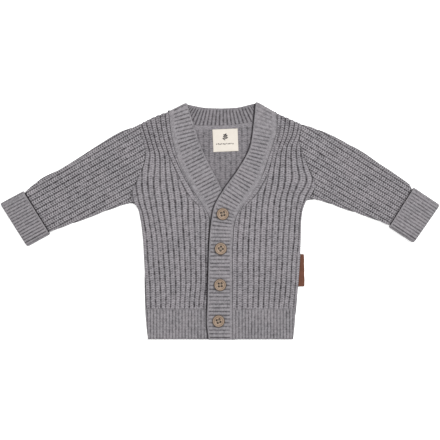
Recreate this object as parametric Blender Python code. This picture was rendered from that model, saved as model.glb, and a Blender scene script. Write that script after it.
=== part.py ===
"""A baby cardigan in chunky rib knit, buttoned up and laid flat on its back.

Every piece that a knitter makes or a maker sews on is one closed solid of its own. The cloth
is a wall between an under face and an upper face, and the panels lie on each other in layers.

Frame: z = 0 is the surface that the cardigan lies on, +Y runs up the garment to the neck,
+X points to the wearer's left, and +Z points up. The origin is under the middle of its box.
The tables are in millimetres, and MM turns them into metres.
"""

import math

import bmesh
import bpy
import numpy as np
from mathutils import Matrix, Vector

MM = 0.001

# Thicknesses and layers, in millimetres.
WALL = 2.6           # the panels' chunky rib
TRIM = 2.4           # the finer rib of hems, bands and cuffs
LAYER = 3.0          # from the underside of one layer of cloth to that of the next
GAP = 0.3            # between neighbouring pieces
HALF_GAP = 0.2       # each side of a slanting seam, measured along X
LABEL_WALL = 0.5
LEATHER = 1.0
TAB_FOLD = 0.4       # the air between the two layers of the folded tab
TAB_HEIGHT = 2 * LEATHER + TAB_FOLD
TAB_CORNER = (0.5, 0.7)      # the softened fold of the tab, along X and Z

# Where a panel folds down round the side or the shoulder to meet the back.
EDGE_WALL = 1.6      # the upright part of the folded edge
EDGE_ROUND = 4.6     # the width of its rounded shoulder
FOLD_STEP = 2.6      # the fold is this wide before it steps up over the back
BACK_INSET = 3.2     # the back stops this far inside the fold
FOLD_PLACES = (0.0, 0.6, 1.6, FOLD_STEP, FOLD_STEP + GAP, EDGE_ROUND)
ON_FOLD = FOLD_STEP + 0.01   # places up to here belong to the fold
NOT_FOLDED = 99.0    # a distance from a fold that is well clear of it
UNDERARM_FADE = 7.0  # the side fold runs out over this length below the underarm

# Heights on the body, along Y.
HEM_Y = -143.7
WELT_Y = -107.1      # where the hem rib starts
BAND_LIFT = (68.0, 38.0)   # the top band climbs over the under band between these heights
LIFT_REACH = 9.5     # the wearer's left front comes down from the band within this width
CHEST_Y = 80.0       # the shoulder line's bulge fades out down to here
NAPE_Y = 70.0        # the back's rows bend up to the shoulders and the neck from here

# Outlines. "right" and "left" are the wearer's. Columns: y, x.
SIDE = {
    "right": ((-143.7, -87.3), (-107.1, -90.3), (-74.7, -91.4), (-45.9, -92.1),
              (-17.1, -93.9), (4.5, -96.9), (13.5, -99.3), (19.7, -104.1)),
    "left": ((-143.7, 88.3), (-107.1, 92.1), (-78.3, 94.3), (-48.3, 96.3),
             (-24.3, 97.7), (-2.7, 98.1), (11.7, 99.9), (23.9, 104.1)),
}
ARMHOLE = {
    "right": ((19.7, -104.1), (24.3, -106.3), (30.3, -106.5), (43.5, -101.7), (57.1, -95.3),
              (70.5, -90.5), (83.9, -89.7), (97.4, -92.9), (110.5, -96.6), (115.1, -97.9)),
    "left": ((23.9, 104.1), (28.5, 109.6), (33.3, 112.5), (43.5, 113.7), (57.1, 108.9),
             (70.5, 103.0), (83.9, 98.0), (97.4, 95.6), (110.5, 97.9), (115.1, 99.9)),
}
BAND_SEAM = {
    "right": ((-143.7, -11.7), (-30.0, -11.7), (-6.3, -11.7), (5.7, -13.3), (16.5, -19.6),
              (35.1, -31.4), (59.7, -44.8), (83.7, -53.7), (101.7, -57.9), (131.3, -61.5)),
    "left": ((-143.7, 14.9), (-80.7, 14.7), (-25.5, 15.2), (-2.7, 17.3), (9.3, 21.7),
             (23.7, 32.7), (42.2, 45.5), (71.7, 56.7), (92.1, 63.7), (108.9, 68.1),
             (119.7, 68.1), (129.9, 66.9)),
}
BAND_FREE_EDGE = {
    "right": ((-143.7, 13.5), (-20.0, 13.5), (5.0, 12.8), (20.0, 9.5), (35.7, 3.1),
              (62.1, -10.5), (87.3, -22.3), (112.5, -30.7), (142.4, -39.5)),
    "left": ((-143.7, -13.6), (-126.8, -15.7), (-99.3, -15.2), (-62.5, -14.2), (-25.5, -12.9),
             (-0.1, -10.5), (16.5, -6.9), (34.9, 3.1), (58.5, 19.9), (85.4, 35.1),
             (112.5, 39.9), (143.7, 42.9)),
}
# Which heights face each other across a band. Columns: y at the seam, y at the free edge.
BAND_PAIRS = {
    "right": ((-143.7, -143.7), (-30.0, -30.0), (-12.0, -10.0), (3.5, 10.0), (16.5, 28.5),
              (35.1, 49.5), (56.0, 70.7), (79.0, 91.9), (95.5, 103.0), (113.7, 120.5),
              (131.3, 142.4)),
    "left": ((-143.7, -143.7), (-30.0, -30.0), (-15.0, -14.0), (-1.0, 5.0), (11.0, 23.5),
             (23.7, 41.2), (45.0, 58.5), (71.7, 78.5), (95.0, 100.0), (112.0, 122.0),
             (129.9, 143.7)),
}
# Which heights face each other across a front. Columns: y at the side, y at the band seam.
FRONT_PAIRS = {
    "right": ((-143.7, -143.7), (19.7, 19.0), (70.5, 73.0), (97.4, 106.0), (115.1, 131.3)),
    "left": ((-143.7, -143.7), (23.9, 23.0), (70.5, 73.0), (97.4, 106.0), (115.1, 129.9)),
}
SHOULDER_BOW = {"right": 1.2, "left": 0.0}   # how far the shoulder line bulges upward
# Columns: x, y.
NECK_SEAM = ((-61.4, 128.1), (-47.7, 120.3), (-30.3, 114.4), (-12.0, 113.8), (8.0, 114.2),
             (28.0, 116.3), (48.0, 120.2), (67.0, 126.7))
NECK_EDGE = ((-38.6, 139.2), (-33.3, 138.0), (-20.1, 135.5), (-6.4, 134.7), (7.5, 134.7),
             (23.9, 136.0), (35.0, 138.8), (42.6, 140.5))
# Which places face each other across the neck band. Columns: x at its seam, x at its edge.
NECK_PAIRS = ((-61.4, -38.6), (-50.0, -33.3), (-37.0, -26.0), (-20.0, -15.0), (-6.0, -4.0),
              (9.0, 7.5), (22.0, 17.0), (34.0, 26.0), (46.0, 34.5), (67.0, 42.6))
# Sleeve folds, from the armhole to the mouth of the cuff. Columns: x, y.
SLEEVE_TOP = {
    "right": ((-97.9, 115.1), (-122.1, 105.3), (-146.1, 90.9), (-168.9, 76.5), (-192.9, 62.1),
              (-219.3, 47.3), (-231.5, 36.6)),
    "left": ((99.9, 115.1), (114.3, 110.7), (145.5, 96.9), (170.7, 83.1), (191.1, 69.3),
             (212.7, 54.9), (227.5, 43.3)),
}
SLEEVE_BOTTOM = {
    "right": ((-104.1, 19.7), (-113.7, 18.5), (-132.9, 11.7), (-152.1, 4.5), (-171.3, -2.7),
              (-191.7, -9.9), (-201.3, -13.3)),
    "left": ((104.1, 23.9), (117.9, 23.6), (132.3, 18.9), (152.7, 11.7), (174.3, 4.5),
             (198.2, -4.9)),
}
# Cuff corners. Columns: x, y of mouth top, mouth bottom, wrist top, wrist bottom.
CUFF = {
    "right": ((-236.1, 35.1), (-203.7, -17.1), (-264.0, 20.1), (-231.0, -32.2)),
    "left": ((232.6, 39.3), (202.4, -8.7), (264.0, 18.3), (231.9, -27.9)),
}
CUFF_HEIGHT = 4 * TRIM + 4 * GAP     # four layers of cloth, and the air between them
CUFF_OVERLAP = 3.0   # the sleeve reaches this far into the turned-back cuff
CUFF_RISE = 0.72     # the sleeve starts to climb to the cuff at this share of its length
ARMHOLE_REACH = 0.5  # the sleeve's bend along the armhole fades out by this share of its length
SLEEVE_ROUND = 3.4   # the width of the rounded fold along each side of a sleeve
SLEEVE_PLACES = (0.0, 0.6, 1.8)     # corners near that fold
SLIT_ROUND = 1.0     # the width of the same fold on the inside
CUFF_EDGE = 0.5      # the softened edge of the cuff's mouth
# The turn of the cuff at the wrist. Columns: how far before the wrist, how deep inside.
CUFF_TURN = ((2.4, 0.0), (0.7, 0.9))
CUFF_HOLLOW = (2.9, 2.5)     # the air inside the turn ends this far before the wrist

# Steps of the faceted solids.
TAB_CLEAR = 1.5      # the seam stays up for this much past each end of the tab
TAB_RAMP = 4.5       # and then comes down over this length
BODY_ROWS = (WELT_Y + GAP / 2, -81.5, -39.5, -17.1, 4.5)
TAB_ROWS = (-86.0, -35.0)
HEM_ROWS = (HEM_Y, (HEM_Y + WELT_Y) / 2, WELT_Y - GAP / 2)
FRONT_COLUMNS = 7
BACK_COLUMNS = 3
NECK_COLUMNS = 12
SLEEVE_STATIONS = 8
BAND_COLUMNS = 4
ROUND_STEPS = 4

# Sewn-on trimmings.
BUTTON_RADIUS = 7.5
BUTTON_HEIGHT = 3.0
BUTTON_SHANK = 0.7   # the thread holds the button this far above the band
BUTTON_BASE = 2 * LAYER + TRIM + BUTTON_SHANK
BUTTON_DISH = 1.0    # how deep the middle of the face is dished
BUTTON_STEPS = 28
HOLE_RADIUS = 0.85
HOLE_PLACE = 1.75    # from the button's middle to each of its four holes, along X and Y
HOLE_STEPS = 10
# Columns: x, y, how far the holes are turned in degrees, how far the button leans in degrees.
BUTTONS = ((3.3, 7.3, 12.0, 2.5), (0.9, -34.3, 38.0, 0.0), (0.2, -77.6, 4.0, 0.0),
           (-1.7, -120.9, 20.0, 0.0))
LABEL_SIZE = (30.3, 27.2)
LABEL_CENTRE = (6.6, 95.9)
LABEL_TURN = 2.4
TAB_ENDS = ((-80.0, 101.5), (-41.0, 100.7))     # columns: y, x of the fold outside the seam
TAB_CUT = 0.1        # more air between the tab's cut ends and the back

# Colours, roughness and metallic value of each material.
MATERIALS = {
    "rib_knit": ((0.23, 0.22, 0.23, 1.0), 0.92, 0.0),
    "trim_knit": ((0.25, 0.24, 0.25, 1.0), 0.92, 0.0),
    "horn_button": ((0.30, 0.20, 0.14, 1.0), 0.45, 0.0),
    "woven_label": ((0.83, 0.76, 0.69, 1.0), 0.80, 0.0),
    "brown_leather": ((0.17, 0.07, 0.045, 1.0), 0.60, 0.0),
}


def curve(table):
    """A smooth line through rows of (place, value), as a function of place."""
    place, value = np.array(sorted(table), float).T
    slope = np.gradient(value, place)

    def at(wanted):
        wanted = np.clip(wanted, place[0], place[-1])
        i = np.clip(np.searchsorted(place, wanted, side="right") - 1, 0, len(place) - 2)
        step = place[i + 1] - place[i]
        u = (wanted - place[i]) / step
        start = value[i] * (1 + 2 * u) * (1 - u) ** 2 + slope[i] * step * u * (1 - u) ** 2
        end = value[i + 1] * u * u * (3 - 2 * u) + slope[i + 1] * step * u * u * (u - 1)
        return start + end

    return at


def mix(a, b, share):
    """The point or number that lies at a share of the way from a to b."""
    return a + (b - a) * share


def ease(low, high, value):
    """0 at low and 1 at high, with a soft start and a soft stop."""
    u = np.clip((value - low) / (high - low), 0.0, 1.0)
    return u * u * (3 - 2 * u)


def rounded(distance, reach):
    """The height, from 0 to 1, of a quarter-round edge at a distance inside it."""
    u = 1 - np.clip(distance / reach, 0.0, 1.0)
    return np.sqrt(1 - u * u)


# --- Blender objects ---------------------------------------------------------------------


def clear_scene():
    """Removes whatever the file holds."""
    for thing in list(bpy.data.objects):
        bpy.data.objects.remove(thing)


def material(name):
    """The Principled material of that name, made on first use."""
    found = bpy.data.materials.get(name)
    if found:
        return found
    colour, roughness, metallic = MATERIALS[name]
    made = bpy.data.materials.new(name)
    made.use_nodes = True
    shader = made.node_tree.nodes["Principled BSDF"]
    shader.inputs["Base Color"].default_value = colour
    shader.inputs["Roughness"].default_value = roughness
    shader.inputs["Metallic"].default_value = metallic
    return made


def make_object(name, bm, material_name, smooth=True):
    """Turns a finished bmesh into a named object whose faces point out."""
    bmesh.ops.recalc_face_normals(bm, faces=bm.faces)
    mesh = bpy.data.meshes.new(name)
    bm.to_mesh(mesh)
    bm.free()
    mesh.materials.append(material(material_name))
    if smooth:
        mesh.shade_smooth()
        mesh.set_sharp_from_angle(angle=math.radians(50))
    thing = bpy.data.objects.new(name, mesh)
    bpy.context.scene.collection.objects.link(thing)
    return thing


def add_points(bm, points):
    """Adds a grid of points in millimetres, and gives back the grid of vertices."""
    return [[bm.verts.new(Vector(p) * MM) for p in row] for row in points]


def skin(bm, grid, close_rows=False, close_columns=False):
    """Faces between the neighbours of a grid of vertices."""
    rows, columns = len(grid), len(grid[0])
    for i in range(rows if close_rows else rows - 1):
        for j in range(columns if close_columns else columns - 1):
            k, m = (i + 1) % rows, (j + 1) % columns
            bm.faces.new((grid[i][j], grid[i][m], grid[k][m], grid[k][j]))


def slab(name, plan, under, upper, material_name):
    """A piece of cloth: an upper and an under face over one plan, joined round the edge."""
    bm = bmesh.new()
    grids = []
    for height in (under, upper):
        points = np.dstack([plan, height])
        grids.append(add_points(bm, points))
        skin(bm, grids[-1])
    for lines in (0, -1):
        skin(bm, [grids[0][lines], grids[1][lines]])
        skin(bm, [[row[lines] for row in grids[0]], [row[lines] for row in grids[1]]])
    return make_object(name, bm, material_name)


# --- The fronts, the back and their hems --------------------------------------------------


def side_heights(side):
    """The heights at which the panels have their corners along one side seam."""
    return list(BODY_ROWS) + [SIDE[side][-1][0] - UNDERARM_FADE]


def armhole_heights(side):
    """The heights at which every piece round one armhole has its corners."""
    rows = [y for y, _ in ARMHOLE[side]]
    middles = [mix(a, b, 0.5) for a, b in zip(rows[2:-2], rows[3:-1])]
    return sorted(rows + middles)


def body_edge_x(side, y):
    """Where the body ends at a height: its side seam, and above the underarm its armhole."""
    underarm = SIDE[side][-1][0]
    heights = armhole_heights(side)
    arm = np.interp(y, heights, curve(ARMHOLE[side])(np.array(heights)))
    return np.where(y <= underarm, curve(SIDE[side])(y), arm)


def inward(side):
    """The sign of X from one side of the body to its middle."""
    return 1.0 if side == "right" else -1.0


def fold_share(side, y):
    """1 where the front folds down round the side seam, and 0 from the underarm up."""
    underarm = SIDE[side][-1][0]
    return np.clip((underarm - y) / UNDERARM_FADE, 0.0, 1.0)


def tab_lift(side, y):
    """How high the folded edge is held up where the leather tab passes under it."""
    if side == "right":
        return np.zeros(len(y))
    (low, _), (high, _) = TAB_ENDS
    outside = np.maximum(low - TAB_CLEAR - y, y - high - TAB_CLEAR)
    return (TAB_HEIGHT + GAP) * np.clip(1 - outside / TAB_RAMP, 0.0, 1.0)


def band_lift(y):
    """How far the top band is raised where it lies on the under band."""
    return LAYER * ease(BAND_LIFT[0], BAND_LIFT[1], y)


def front_plan(side, side_rows, drops):
    """Points of a front, one row for each height at the side and each drop below the shoulder."""
    facing = curve(FRONT_PAIRS[side])
    top = ARMHOLE[side][-1][0]
    side_y = np.concatenate([side_rows, top - np.array(drops)])
    seam_y = np.concatenate([facing(np.array(side_rows)), facing(top) - np.array(drops)])
    underarm = SIDE[side][-1][0]
    seam_gap = np.where(side_y > underarm, HALF_GAP, 0.0)
    sign = inward(side)
    start_x = body_edge_x(side, side_y) + sign * seam_gap
    end_x = curve(BAND_SEAM[side])(seam_y) - sign * HALF_GAP
    width = np.abs(end_x - start_x)
    near_side = np.array(FOLD_PLACES)
    near_band = np.array([LIFT_REACH, LIFT_REACH * 0.6, LIFT_REACH * 0.3, 0.0])
    plan, from_side, from_band = [], [], []
    for row in range(len(side_y)):
        middle = np.linspace(near_side[-1], width[row] - near_band[0], FRONT_COLUMNS)[1:-1]
        across = np.concatenate([near_side, middle, width[row] - near_band])
        share = across / width[row]
        bow = SHOULDER_BOW[side] * 4 * share * (1 - share) * ease(CHEST_Y, top, side_y[row])
        plan.append(np.column_stack([mix(start_x[row], end_x[row], share),
                                     mix(side_y[row], seam_y[row], share) + bow]))
        from_side.append(across)
        from_band.append(width[row] - across)
    return np.array(plan), side_y, np.array(from_side), np.array(from_band)


def front_heights(side, plan, side_y, from_side, from_band, from_shoulder, wall):
    """The under and upper heights of a front at every point of its plan."""
    lift = 0.0
    if side == "left":
        lift = band_lift(plan[..., 1]) * (1 - ease(0.0, LIFT_REACH, from_band))
    under = LAYER + lift
    upper = under + wall
    share = fold_share(side, side_y)[:, None]
    held = tab_lift(side, side_y)[:, None]
    for distance, folded, floor in ((from_side, share, held), (from_shoulder, 1.0, 0.0)):
        low = np.where(distance <= ON_FOLD, np.minimum(floor, under), under)
        edge = floor + EDGE_WALL
        high = edge + (upper - edge) * rounded(distance, EDGE_ROUND)
        under, upper = mix(under, low, folded), np.minimum(upper, mix(upper, high, folded))
    return under, upper


def make_front(side):
    """One front panel, from the hem rib up to the shoulder."""
    side_rows = side_heights(side) + armhole_heights(side)[:-2]
    if side == "left":
        side_rows = sorted(side_rows + list(TAB_ROWS))
    drops = sorted(FOLD_PLACES, reverse=True)
    plan, side_y, from_side, from_band = front_plan(side, side_rows, drops)
    from_shoulder = np.concatenate([np.full(len(side_rows), NOT_FOLDED), drops])[:, None]
    from_shoulder = np.broadcast_to(from_shoulder, from_side.shape)
    under, upper = front_heights(side, plan, side_y, from_side, from_band, from_shoulder, WALL)
    slab("front_" + side, plan, under, upper, "rib_knit")


def make_front_hem(side):
    """The finer rib that finishes one front."""
    plan, side_y, from_side, from_band = front_plan(side, HEM_ROWS, [])
    far = np.full(from_side.shape, NOT_FOLDED)
    under, upper = front_heights(side, plan, side_y, from_side, from_band, far, TRIM)
    slab("hem_" + side, plan, under, upper, "trim_knit")


def back_ends(side, rows):
    """The end of each row of the back, inside the fold at the side and at the armhole above."""
    y = np.array(rows)
    inset = np.where(y <= SIDE[side][-1][0], BACK_INSET, HALF_GAP)
    return np.column_stack([body_edge_x(side, y) + inward(side) * inset, y])


def back_rows(side):
    """Heights of the back's rows, up to the corner of the shoulder."""
    top = ARMHOLE[side][-1][0]
    armhole = armhole_heights(side)[:-2] + [top - EDGE_ROUND, top - BACK_INSET]
    return side_heights(side) + armhole


def make_back():
    """The back panel, which ends at the shoulders and the neck band, and its hem rib."""
    right, left = [back_ends(side, back_rows(side)) for side in ("right", "left")]
    neck_x = np.linspace(NECK_SEAM[0][0], NECK_SEAM[-1][0], NECK_COLUMNS + 1)
    x = np.concatenate([np.linspace(right[-1, 0], neck_x[0], BACK_COLUMNS)[:-1], neck_x,
                        np.linspace(neck_x[-1], left[-1, 0], BACK_COLUMNS)[1:]])
    shares = (x - x[0]) / (x[-1] - x[0])
    plan = mix(right[:, None, :], left[:, None, :], shares[None, :, None])
    shoulder = np.interp(x, [x[0], neck_x[0], neck_x[-1], x[-1]],
                         [right[-1, 1], NECK_SEAM[0][1], NECK_SEAM[-1][1], left[-1, 1]])
    neck = curve(NECK_SEAM)(x) - GAP / 2
    over_neck = (x >= neck_x[0]) & (x <= neck_x[-1])
    rise = np.where(over_neck, neck, shoulder) - plan[-1, :, 1]
    plan[..., 1] += rise[None, :] * ease(NAPE_Y, right[-1, 1], right[:, 1])[:, None]
    flat = np.zeros(plan.shape[:2])
    slab("back", plan, flat, flat + WALL, "rib_knit")
    right, left = [back_ends(side, HEM_ROWS) for side in ("right", "left")]
    plan = mix(right[:, None, :], left[:, None, :], shares[None, :, None])
    flat = np.zeros(plan.shape[:2])
    slab("back_hem", plan, flat, flat + TRIM, "trim_knit")


# --- The bands -----------------------------------------------------------------------------


def make_front_band(side):
    """A button band that turns into the V of the neck and folds over at the shoulder."""
    seam_x, edge_x = curve(BAND_SEAM[side]), curve(BAND_FREE_EDGE[side])
    pairs = BAND_PAIRS[side]
    rows = np.arange(0, len(pairs) - 1, 0.5)
    order = np.arange(len(pairs))
    seam_y = curve(tuple(zip(order, [a for a, _ in pairs])))(rows)
    edge_y = curve(tuple(zip(order, [b for _, b in pairs])))(rows)
    drops = np.array(sorted(FOLD_PLACES, reverse=True))
    seam_y = np.concatenate([seam_y, pairs[-1][0] - drops])
    edge_y = np.concatenate([edge_y, pairs[-1][1] - drops])
    sign = inward(side)
    start = np.column_stack([seam_x(seam_y) + sign * HALF_GAP, seam_y])
    end = np.column_stack([edge_x(edge_y), edge_y])
    shares = np.linspace(0.0, 1.0, BAND_COLUMNS + 1)[None, :, None]
    plan = mix(start[:, None, :], end[:, None, :], shares)
    lift = band_lift(plan[..., 1]) if side == "left" else 0.0
    under = LAYER + lift + np.zeros(plan.shape[:2])
    upper = under + TRIM
    distance = np.concatenate([np.full(len(rows), NOT_FOLDED), drops])[:, None]
    under = np.where(distance <= ON_FOLD, 0.0, under)
    upper = EDGE_WALL + (upper - EDGE_WALL) * rounded(distance, EDGE_ROUND)
    slab("band_" + side, plan, under, upper, "trim_knit")


def make_neck_band():
    """The band round the back of the neck, inside the garment."""
    seam_x = np.linspace(NECK_SEAM[0][0], NECK_SEAM[-1][0], NECK_COLUMNS + 1)
    edge_x = curve(NECK_PAIRS)(seam_x)
    start = np.column_stack([seam_x, curve(NECK_SEAM)(seam_x) + GAP / 2])
    end = np.column_stack([edge_x, curve(NECK_EDGE)(edge_x)])
    shares = np.linspace(0.0, 1.0, BAND_COLUMNS)[None, :, None]
    plan = mix(start[:, None, :], end[:, None, :], shares)
    flat = np.zeros(plan.shape[:2])
    slab("band_neck", plan, flat, flat + TRIM, "trim_knit")


# --- Sleeves and cuffs ---------------------------------------------------------------------


def sleeve_end(side):
    """The armhole line, from the shoulder down to the underarm, and its shares of the way."""
    y = np.array(armhole_heights(side)[::-1])
    line = np.column_stack([body_edge_x(side, y) - inward(side) * HALF_GAP, y])
    line[-1, 0] = ARMHOLE[side][0][1] - inward(side) * HALF_GAP
    walked = np.concatenate([[0.0], np.cumsum(np.linalg.norm(np.diff(line, axis=0), axis=1))])
    return line, walked / walked[-1]


def sleeve_point(side, along, across, line, shares):
    """Plan point of a sleeve, along from armhole to cuff and across from top to bottom fold."""
    folds = []
    for table in (SLEEVE_TOP[side], SLEEVE_BOTTOM[side]):
        x = mix(table[0][0] - inward(side) * HALF_GAP, table[-1][0], along)
        folds.append(np.array([x, curve(table)(x)]))
    straight = mix(folds[0], folds[1], across)
    seam = np.array([np.interp(across, shares, line[:, i]) for i in (0, 1)])
    bend = seam - mix(line[0], line[-1], across)
    return straight + bend * (1 - ease(0.0, ARMHOLE_REACH, along))


def cuff_length(side):
    """The length of a cuff along its middle."""
    mouth_top, mouth_bottom, wrist_top, wrist_bottom = np.array(CUFF[side])
    return np.linalg.norm(mix(wrist_top, wrist_bottom, 0.5) - mix(mouth_top, mouth_bottom, 0.5))


def cuff_line(side, inside):
    """The ends of the line across the cuff, a distance inside its mouth."""
    mouth_top, mouth_bottom, wrist_top, wrist_bottom = np.array(CUFF[side])
    share = inside / cuff_length(side)
    return mix(mouth_top, wrist_top, share), mix(mouth_bottom, wrist_bottom, share)


def mouth_edges(side, inside):
    """The ends of the line across the cuff, a distance inside its mouth, where the sleeve fits."""
    top, bottom = cuff_line(side, inside)
    share = (TRIM + GAP) / np.linalg.norm(bottom - top)
    return mix(top, bottom, share), mix(top, bottom, 1 - share)


def sleeve_rings(side, wall_inside):
    """Rings of the sleeve's outer face, or of its inner face, from the armhole to the cuff."""
    line, shares = sleeve_end(side)
    rings = []
    alongs = list(np.linspace(0.0, 1.0, SLEEVE_STATIONS)) + ["mouth", "end"]
    for along in alongs:
        in_cuff = isinstance(along, str)
        if in_cuff:
            top, bottom = mouth_edges(side, 0.0 if along == "mouth" else CUFF_OVERLAP - GAP)
        else:
            top, bottom = [sleeve_point(side, along, v, line, shares) for v in (0.0, 1.0)]
        width = np.linalg.norm(bottom - top)
        near = np.array(SLEEVE_PLACES) / width
        across = np.concatenate([near, shares[1:-1], 1 - near[::-1]])
        rise = 1.0 if in_cuff else ease(CUFF_RISE, 1.0, along)
        base = (TRIM + GAP) * rise
        wall = mix(WALL, TRIM, rise)
        height = mix(LAYER + WALL, 2 * TRIM + 2 * GAP, rise)
        distance = np.minimum(across, 1 - across) * width
        bulge = height / 2 * rounded(distance, SLEEVE_ROUND)
        if wall_inside:
            squeezed = (across * (width - 2 * wall_inside) + wall_inside) / width
            on_seam = (len(rings) == 0) & (distance > wall_inside)
            across = np.where(on_seam, across, squeezed)
            slit = height / 2 - wall
            bulge = slit * rounded(distance, SLIT_ROUND)
        points = []
        for v in across:
            if in_cuff:
                points.append(mix(top, bottom, v))
            else:
                points.append(sleeve_point(side, along, v, line, shares))
        points = np.array(points)
        upper = np.column_stack([points, base + height / 2 + bulge])
        lower = np.column_stack([points, base + height / 2 - bulge])[-2:0:-1]
        rings.append(np.concatenate([upper, lower]))
    return rings


def make_sleeve(side):
    """A flattened tube: an outer face and an inner face, joined at the armhole and the cuff."""
    bm = bmesh.new()
    outer = add_points(bm, sleeve_rings(side, 0.0))
    inner = add_points(bm, sleeve_rings(side, WALL))
    skin(bm, outer, close_columns=True)
    skin(bm, inner, close_columns=True)
    for end in (0, -1):
        skin(bm, [outer[end], inner[end]], close_columns=True)
    make_object("sleeve_" + side, bm, "rib_knit")


def cuff_profile(length):
    """The turned-back cuff's wall in section. Columns: distance from the mouth, depth inside."""
    depth = 2 * TRIM + GAP
    (start, _), (turn, fall) = CUFF_TURN
    air, air_tip = CUFF_HOLLOW
    return ((0.0, CUFF_EDGE), (CUFF_EDGE, 0.0), (length - start, 0.0), (length - turn, fall),
            (length, depth / 2), (length - turn, depth - fall), (length - start, depth),
            (CUFF_OVERLAP, depth), (CUFF_OVERLAP, TRIM + GAP), (length - air, TRIM + GAP),
            (length - air_tip, depth / 2), (length - air, TRIM), (0.0, TRIM))


def cuff_loop(side, distance, depth):
    """One flattened loop round the cuff, at a distance from its mouth and a depth inside."""
    top, bottom = cuff_line(side, distance)
    width = np.linalg.norm(bottom - top)
    centre = CUFF_HEIGHT / 2
    radius = centre - depth
    across, height = [], []
    for turn in np.linspace(-math.pi / 2, math.pi / 2, ROUND_STEPS + 1):
        across.append(width - centre + radius * math.cos(turn))
        height.append(centre - radius * math.sin(turn))
    for step in np.linspace(width - centre, centre, ROUND_STEPS + 2)[1:-1]:
        across.append(step)
        height.append(centre - radius)
    for turn in np.linspace(-math.pi / 2, math.pi / 2, ROUND_STEPS + 1):
        across.append(centre - radius * math.cos(turn))
        height.append(centre + radius * math.sin(turn))
    for step in np.linspace(centre, width - centre, ROUND_STEPS + 2)[1:-1]:
        across.append(step)
        height.append(centre + radius)
    share = np.array(across)[:, None] / width
    return np.column_stack([mix(top, bottom, share), height])


def make_cuff(side):
    """The cuff, turned back on itself: two tubes in one, joined at the wrist."""
    bm = bmesh.new()
    profile = cuff_profile(cuff_length(side))
    loops = [cuff_loop(side, distance, depth) for distance, depth in profile]
    skin(bm, add_points(bm, loops), close_rows=True, close_columns=True)
    make_object("cuff_" + side, bm, "trim_knit")


# --- Buttons, label and tab ----------------------------------------------------------------


def button_profile():
    """Half of a button's section, from the middle of its face round to its back."""
    r, h, dish = BUTTON_RADIUS, BUTTON_HEIGHT, BUTTON_HEIGHT - BUTTON_DISH
    return ((0.0, dish), (r - 2.6, dish), (r - 1.9, h - 0.15), (r - 1.2, h),
            (r - 0.4, h - 0.5), (r, h - 1.4), (r - 0.7, 0.5), (r - 2.0, 0.0), (0.0, 0.0))


def hole_cutter():
    """Four pins that cut the holes of a button, kept out of the finished part."""
    bm = bmesh.new()
    for x in (-HOLE_PLACE, HOLE_PLACE):
        for y in (-HOLE_PLACE, HOLE_PLACE):
            place = Matrix.Translation(Vector((x, y, BUTTON_HEIGHT / 2)) * MM)
            bmesh.ops.create_cone(bm, cap_ends=True, segments=HOLE_STEPS,
                                  radius1=HOLE_RADIUS * MM, radius2=HOLE_RADIUS * MM,
                                  depth=2 * BUTTON_HEIGHT * MM, matrix=place)
    cutter = make_object("hole_cutter", bm, "horn_button", smooth=False)
    cutter.hide_render = True
    cutter.display_type = "WIRE"
    return cutter


def make_buttons():
    """Four sewn buttons of one turned shape, each lying on the top band at its own turn."""
    for number, (x, y, turn, lean) in enumerate(BUTTONS, start=1):
        bm = bmesh.new()
        ring = [bm.verts.new(Vector((r, 0.0, z)) * MM) for r, z in button_profile()]
        edges = [bm.edges.new(pair) for pair in zip(ring, ring[1:])]
        bmesh.ops.spin(bm, geom=ring + edges, cent=(0, 0, 0), axis=(0, 0, 1),
                       angle=2 * math.pi, steps=BUTTON_STEPS, use_merge=True)
        bmesh.ops.remove_doubles(bm, verts=bm.verts, dist=0.001 * MM)
        button = make_object("button_%d" % number, bm, "horn_button")
        button.location = Vector((x, y, BUTTON_BASE)) * MM
        button.rotation_euler = (math.radians(lean), math.radians(-lean / 2),
                                 math.radians(turn))
        cutter = hole_cutter()
        cutter.parent = button
        cut = button.modifiers.new("holes", "BOOLEAN")
        cut.operation = "DIFFERENCE"
        cut.object = cutter


def make_label():
    """The woven label, which lies on the inside of the back below the neck band."""
    width, height = LABEL_SIZE
    bm = bmesh.new()
    size = Matrix.Diagonal(Vector((width * MM, height * MM, LABEL_WALL * MM, 1.0)))
    bmesh.ops.create_cube(bm, size=1.0, matrix=size)
    label = make_object("neck_label", bm, "woven_label", smooth=False)
    label.location = Vector((*LABEL_CENTRE, WALL + GAP + LABEL_WALL / 2)) * MM
    label.rotation_euler = (0.0, 0.0, math.radians(LABEL_TURN))


def make_tab():
    """A strip of leather folded in half, with both ends caught in the wearer's left side."""
    height = TAB_HEIGHT
    soft_x, soft_z = TAB_CORNER
    bm = bmesh.new()
    ends = []
    for y, outer in TAB_ENDS:
        cut = body_edge_x("left", y) - BACK_INSET + GAP + TAB_CUT
        profile = ((cut, 0.0), (outer - soft_x, 0.0), (outer, soft_z), (outer, height - soft_z),
                   (outer - soft_x, height), (cut, height), (cut, height - LEATHER),
                   (outer - LEATHER, height - LEATHER), (outer - LEATHER, LEATHER),
                   (cut, LEATHER))
        ends.append([bm.verts.new(Vector((x, y, z)) * MM) for x, z in profile])
        bm.faces.new(ends[-1])
    skin(bm, ends, close_columns=True)
    make_object("side_tab", bm, "brown_leather", smooth=False)


clear_scene()
make_back()
make_neck_band()
for wearer_side in ("right", "left"):
    make_front(wearer_side)
    make_front_hem(wearer_side)
    make_front_band(wearer_side)
    make_sleeve(wearer_side)
    make_cuff(wearer_side)
make_buttons()
make_label()
make_tab()
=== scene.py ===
# %% [markdown]
# # A baby cardigan in chunky rib, buttoned and laid flat
#
# This notebook dresses a plain CAD model of a knitted baby cardigan. The CAD pieces have the
# right outlines and layers but no stitches. Each knitted piece is made again here on the same
# outline, as a fine grid of points that is pushed in between the ribs and between the stitches,
# so that the knit is real geometry and casts its own shadows; shade is also painted into the
# yarn's colour in the grooves, in the gaps between the stitches, beside the top band and at the
# mouths of the cuffs. Bought-in pieces (buttons, woven label, leather tab) are made again with
# more detail too.

# %% Load the frame
import math

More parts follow.
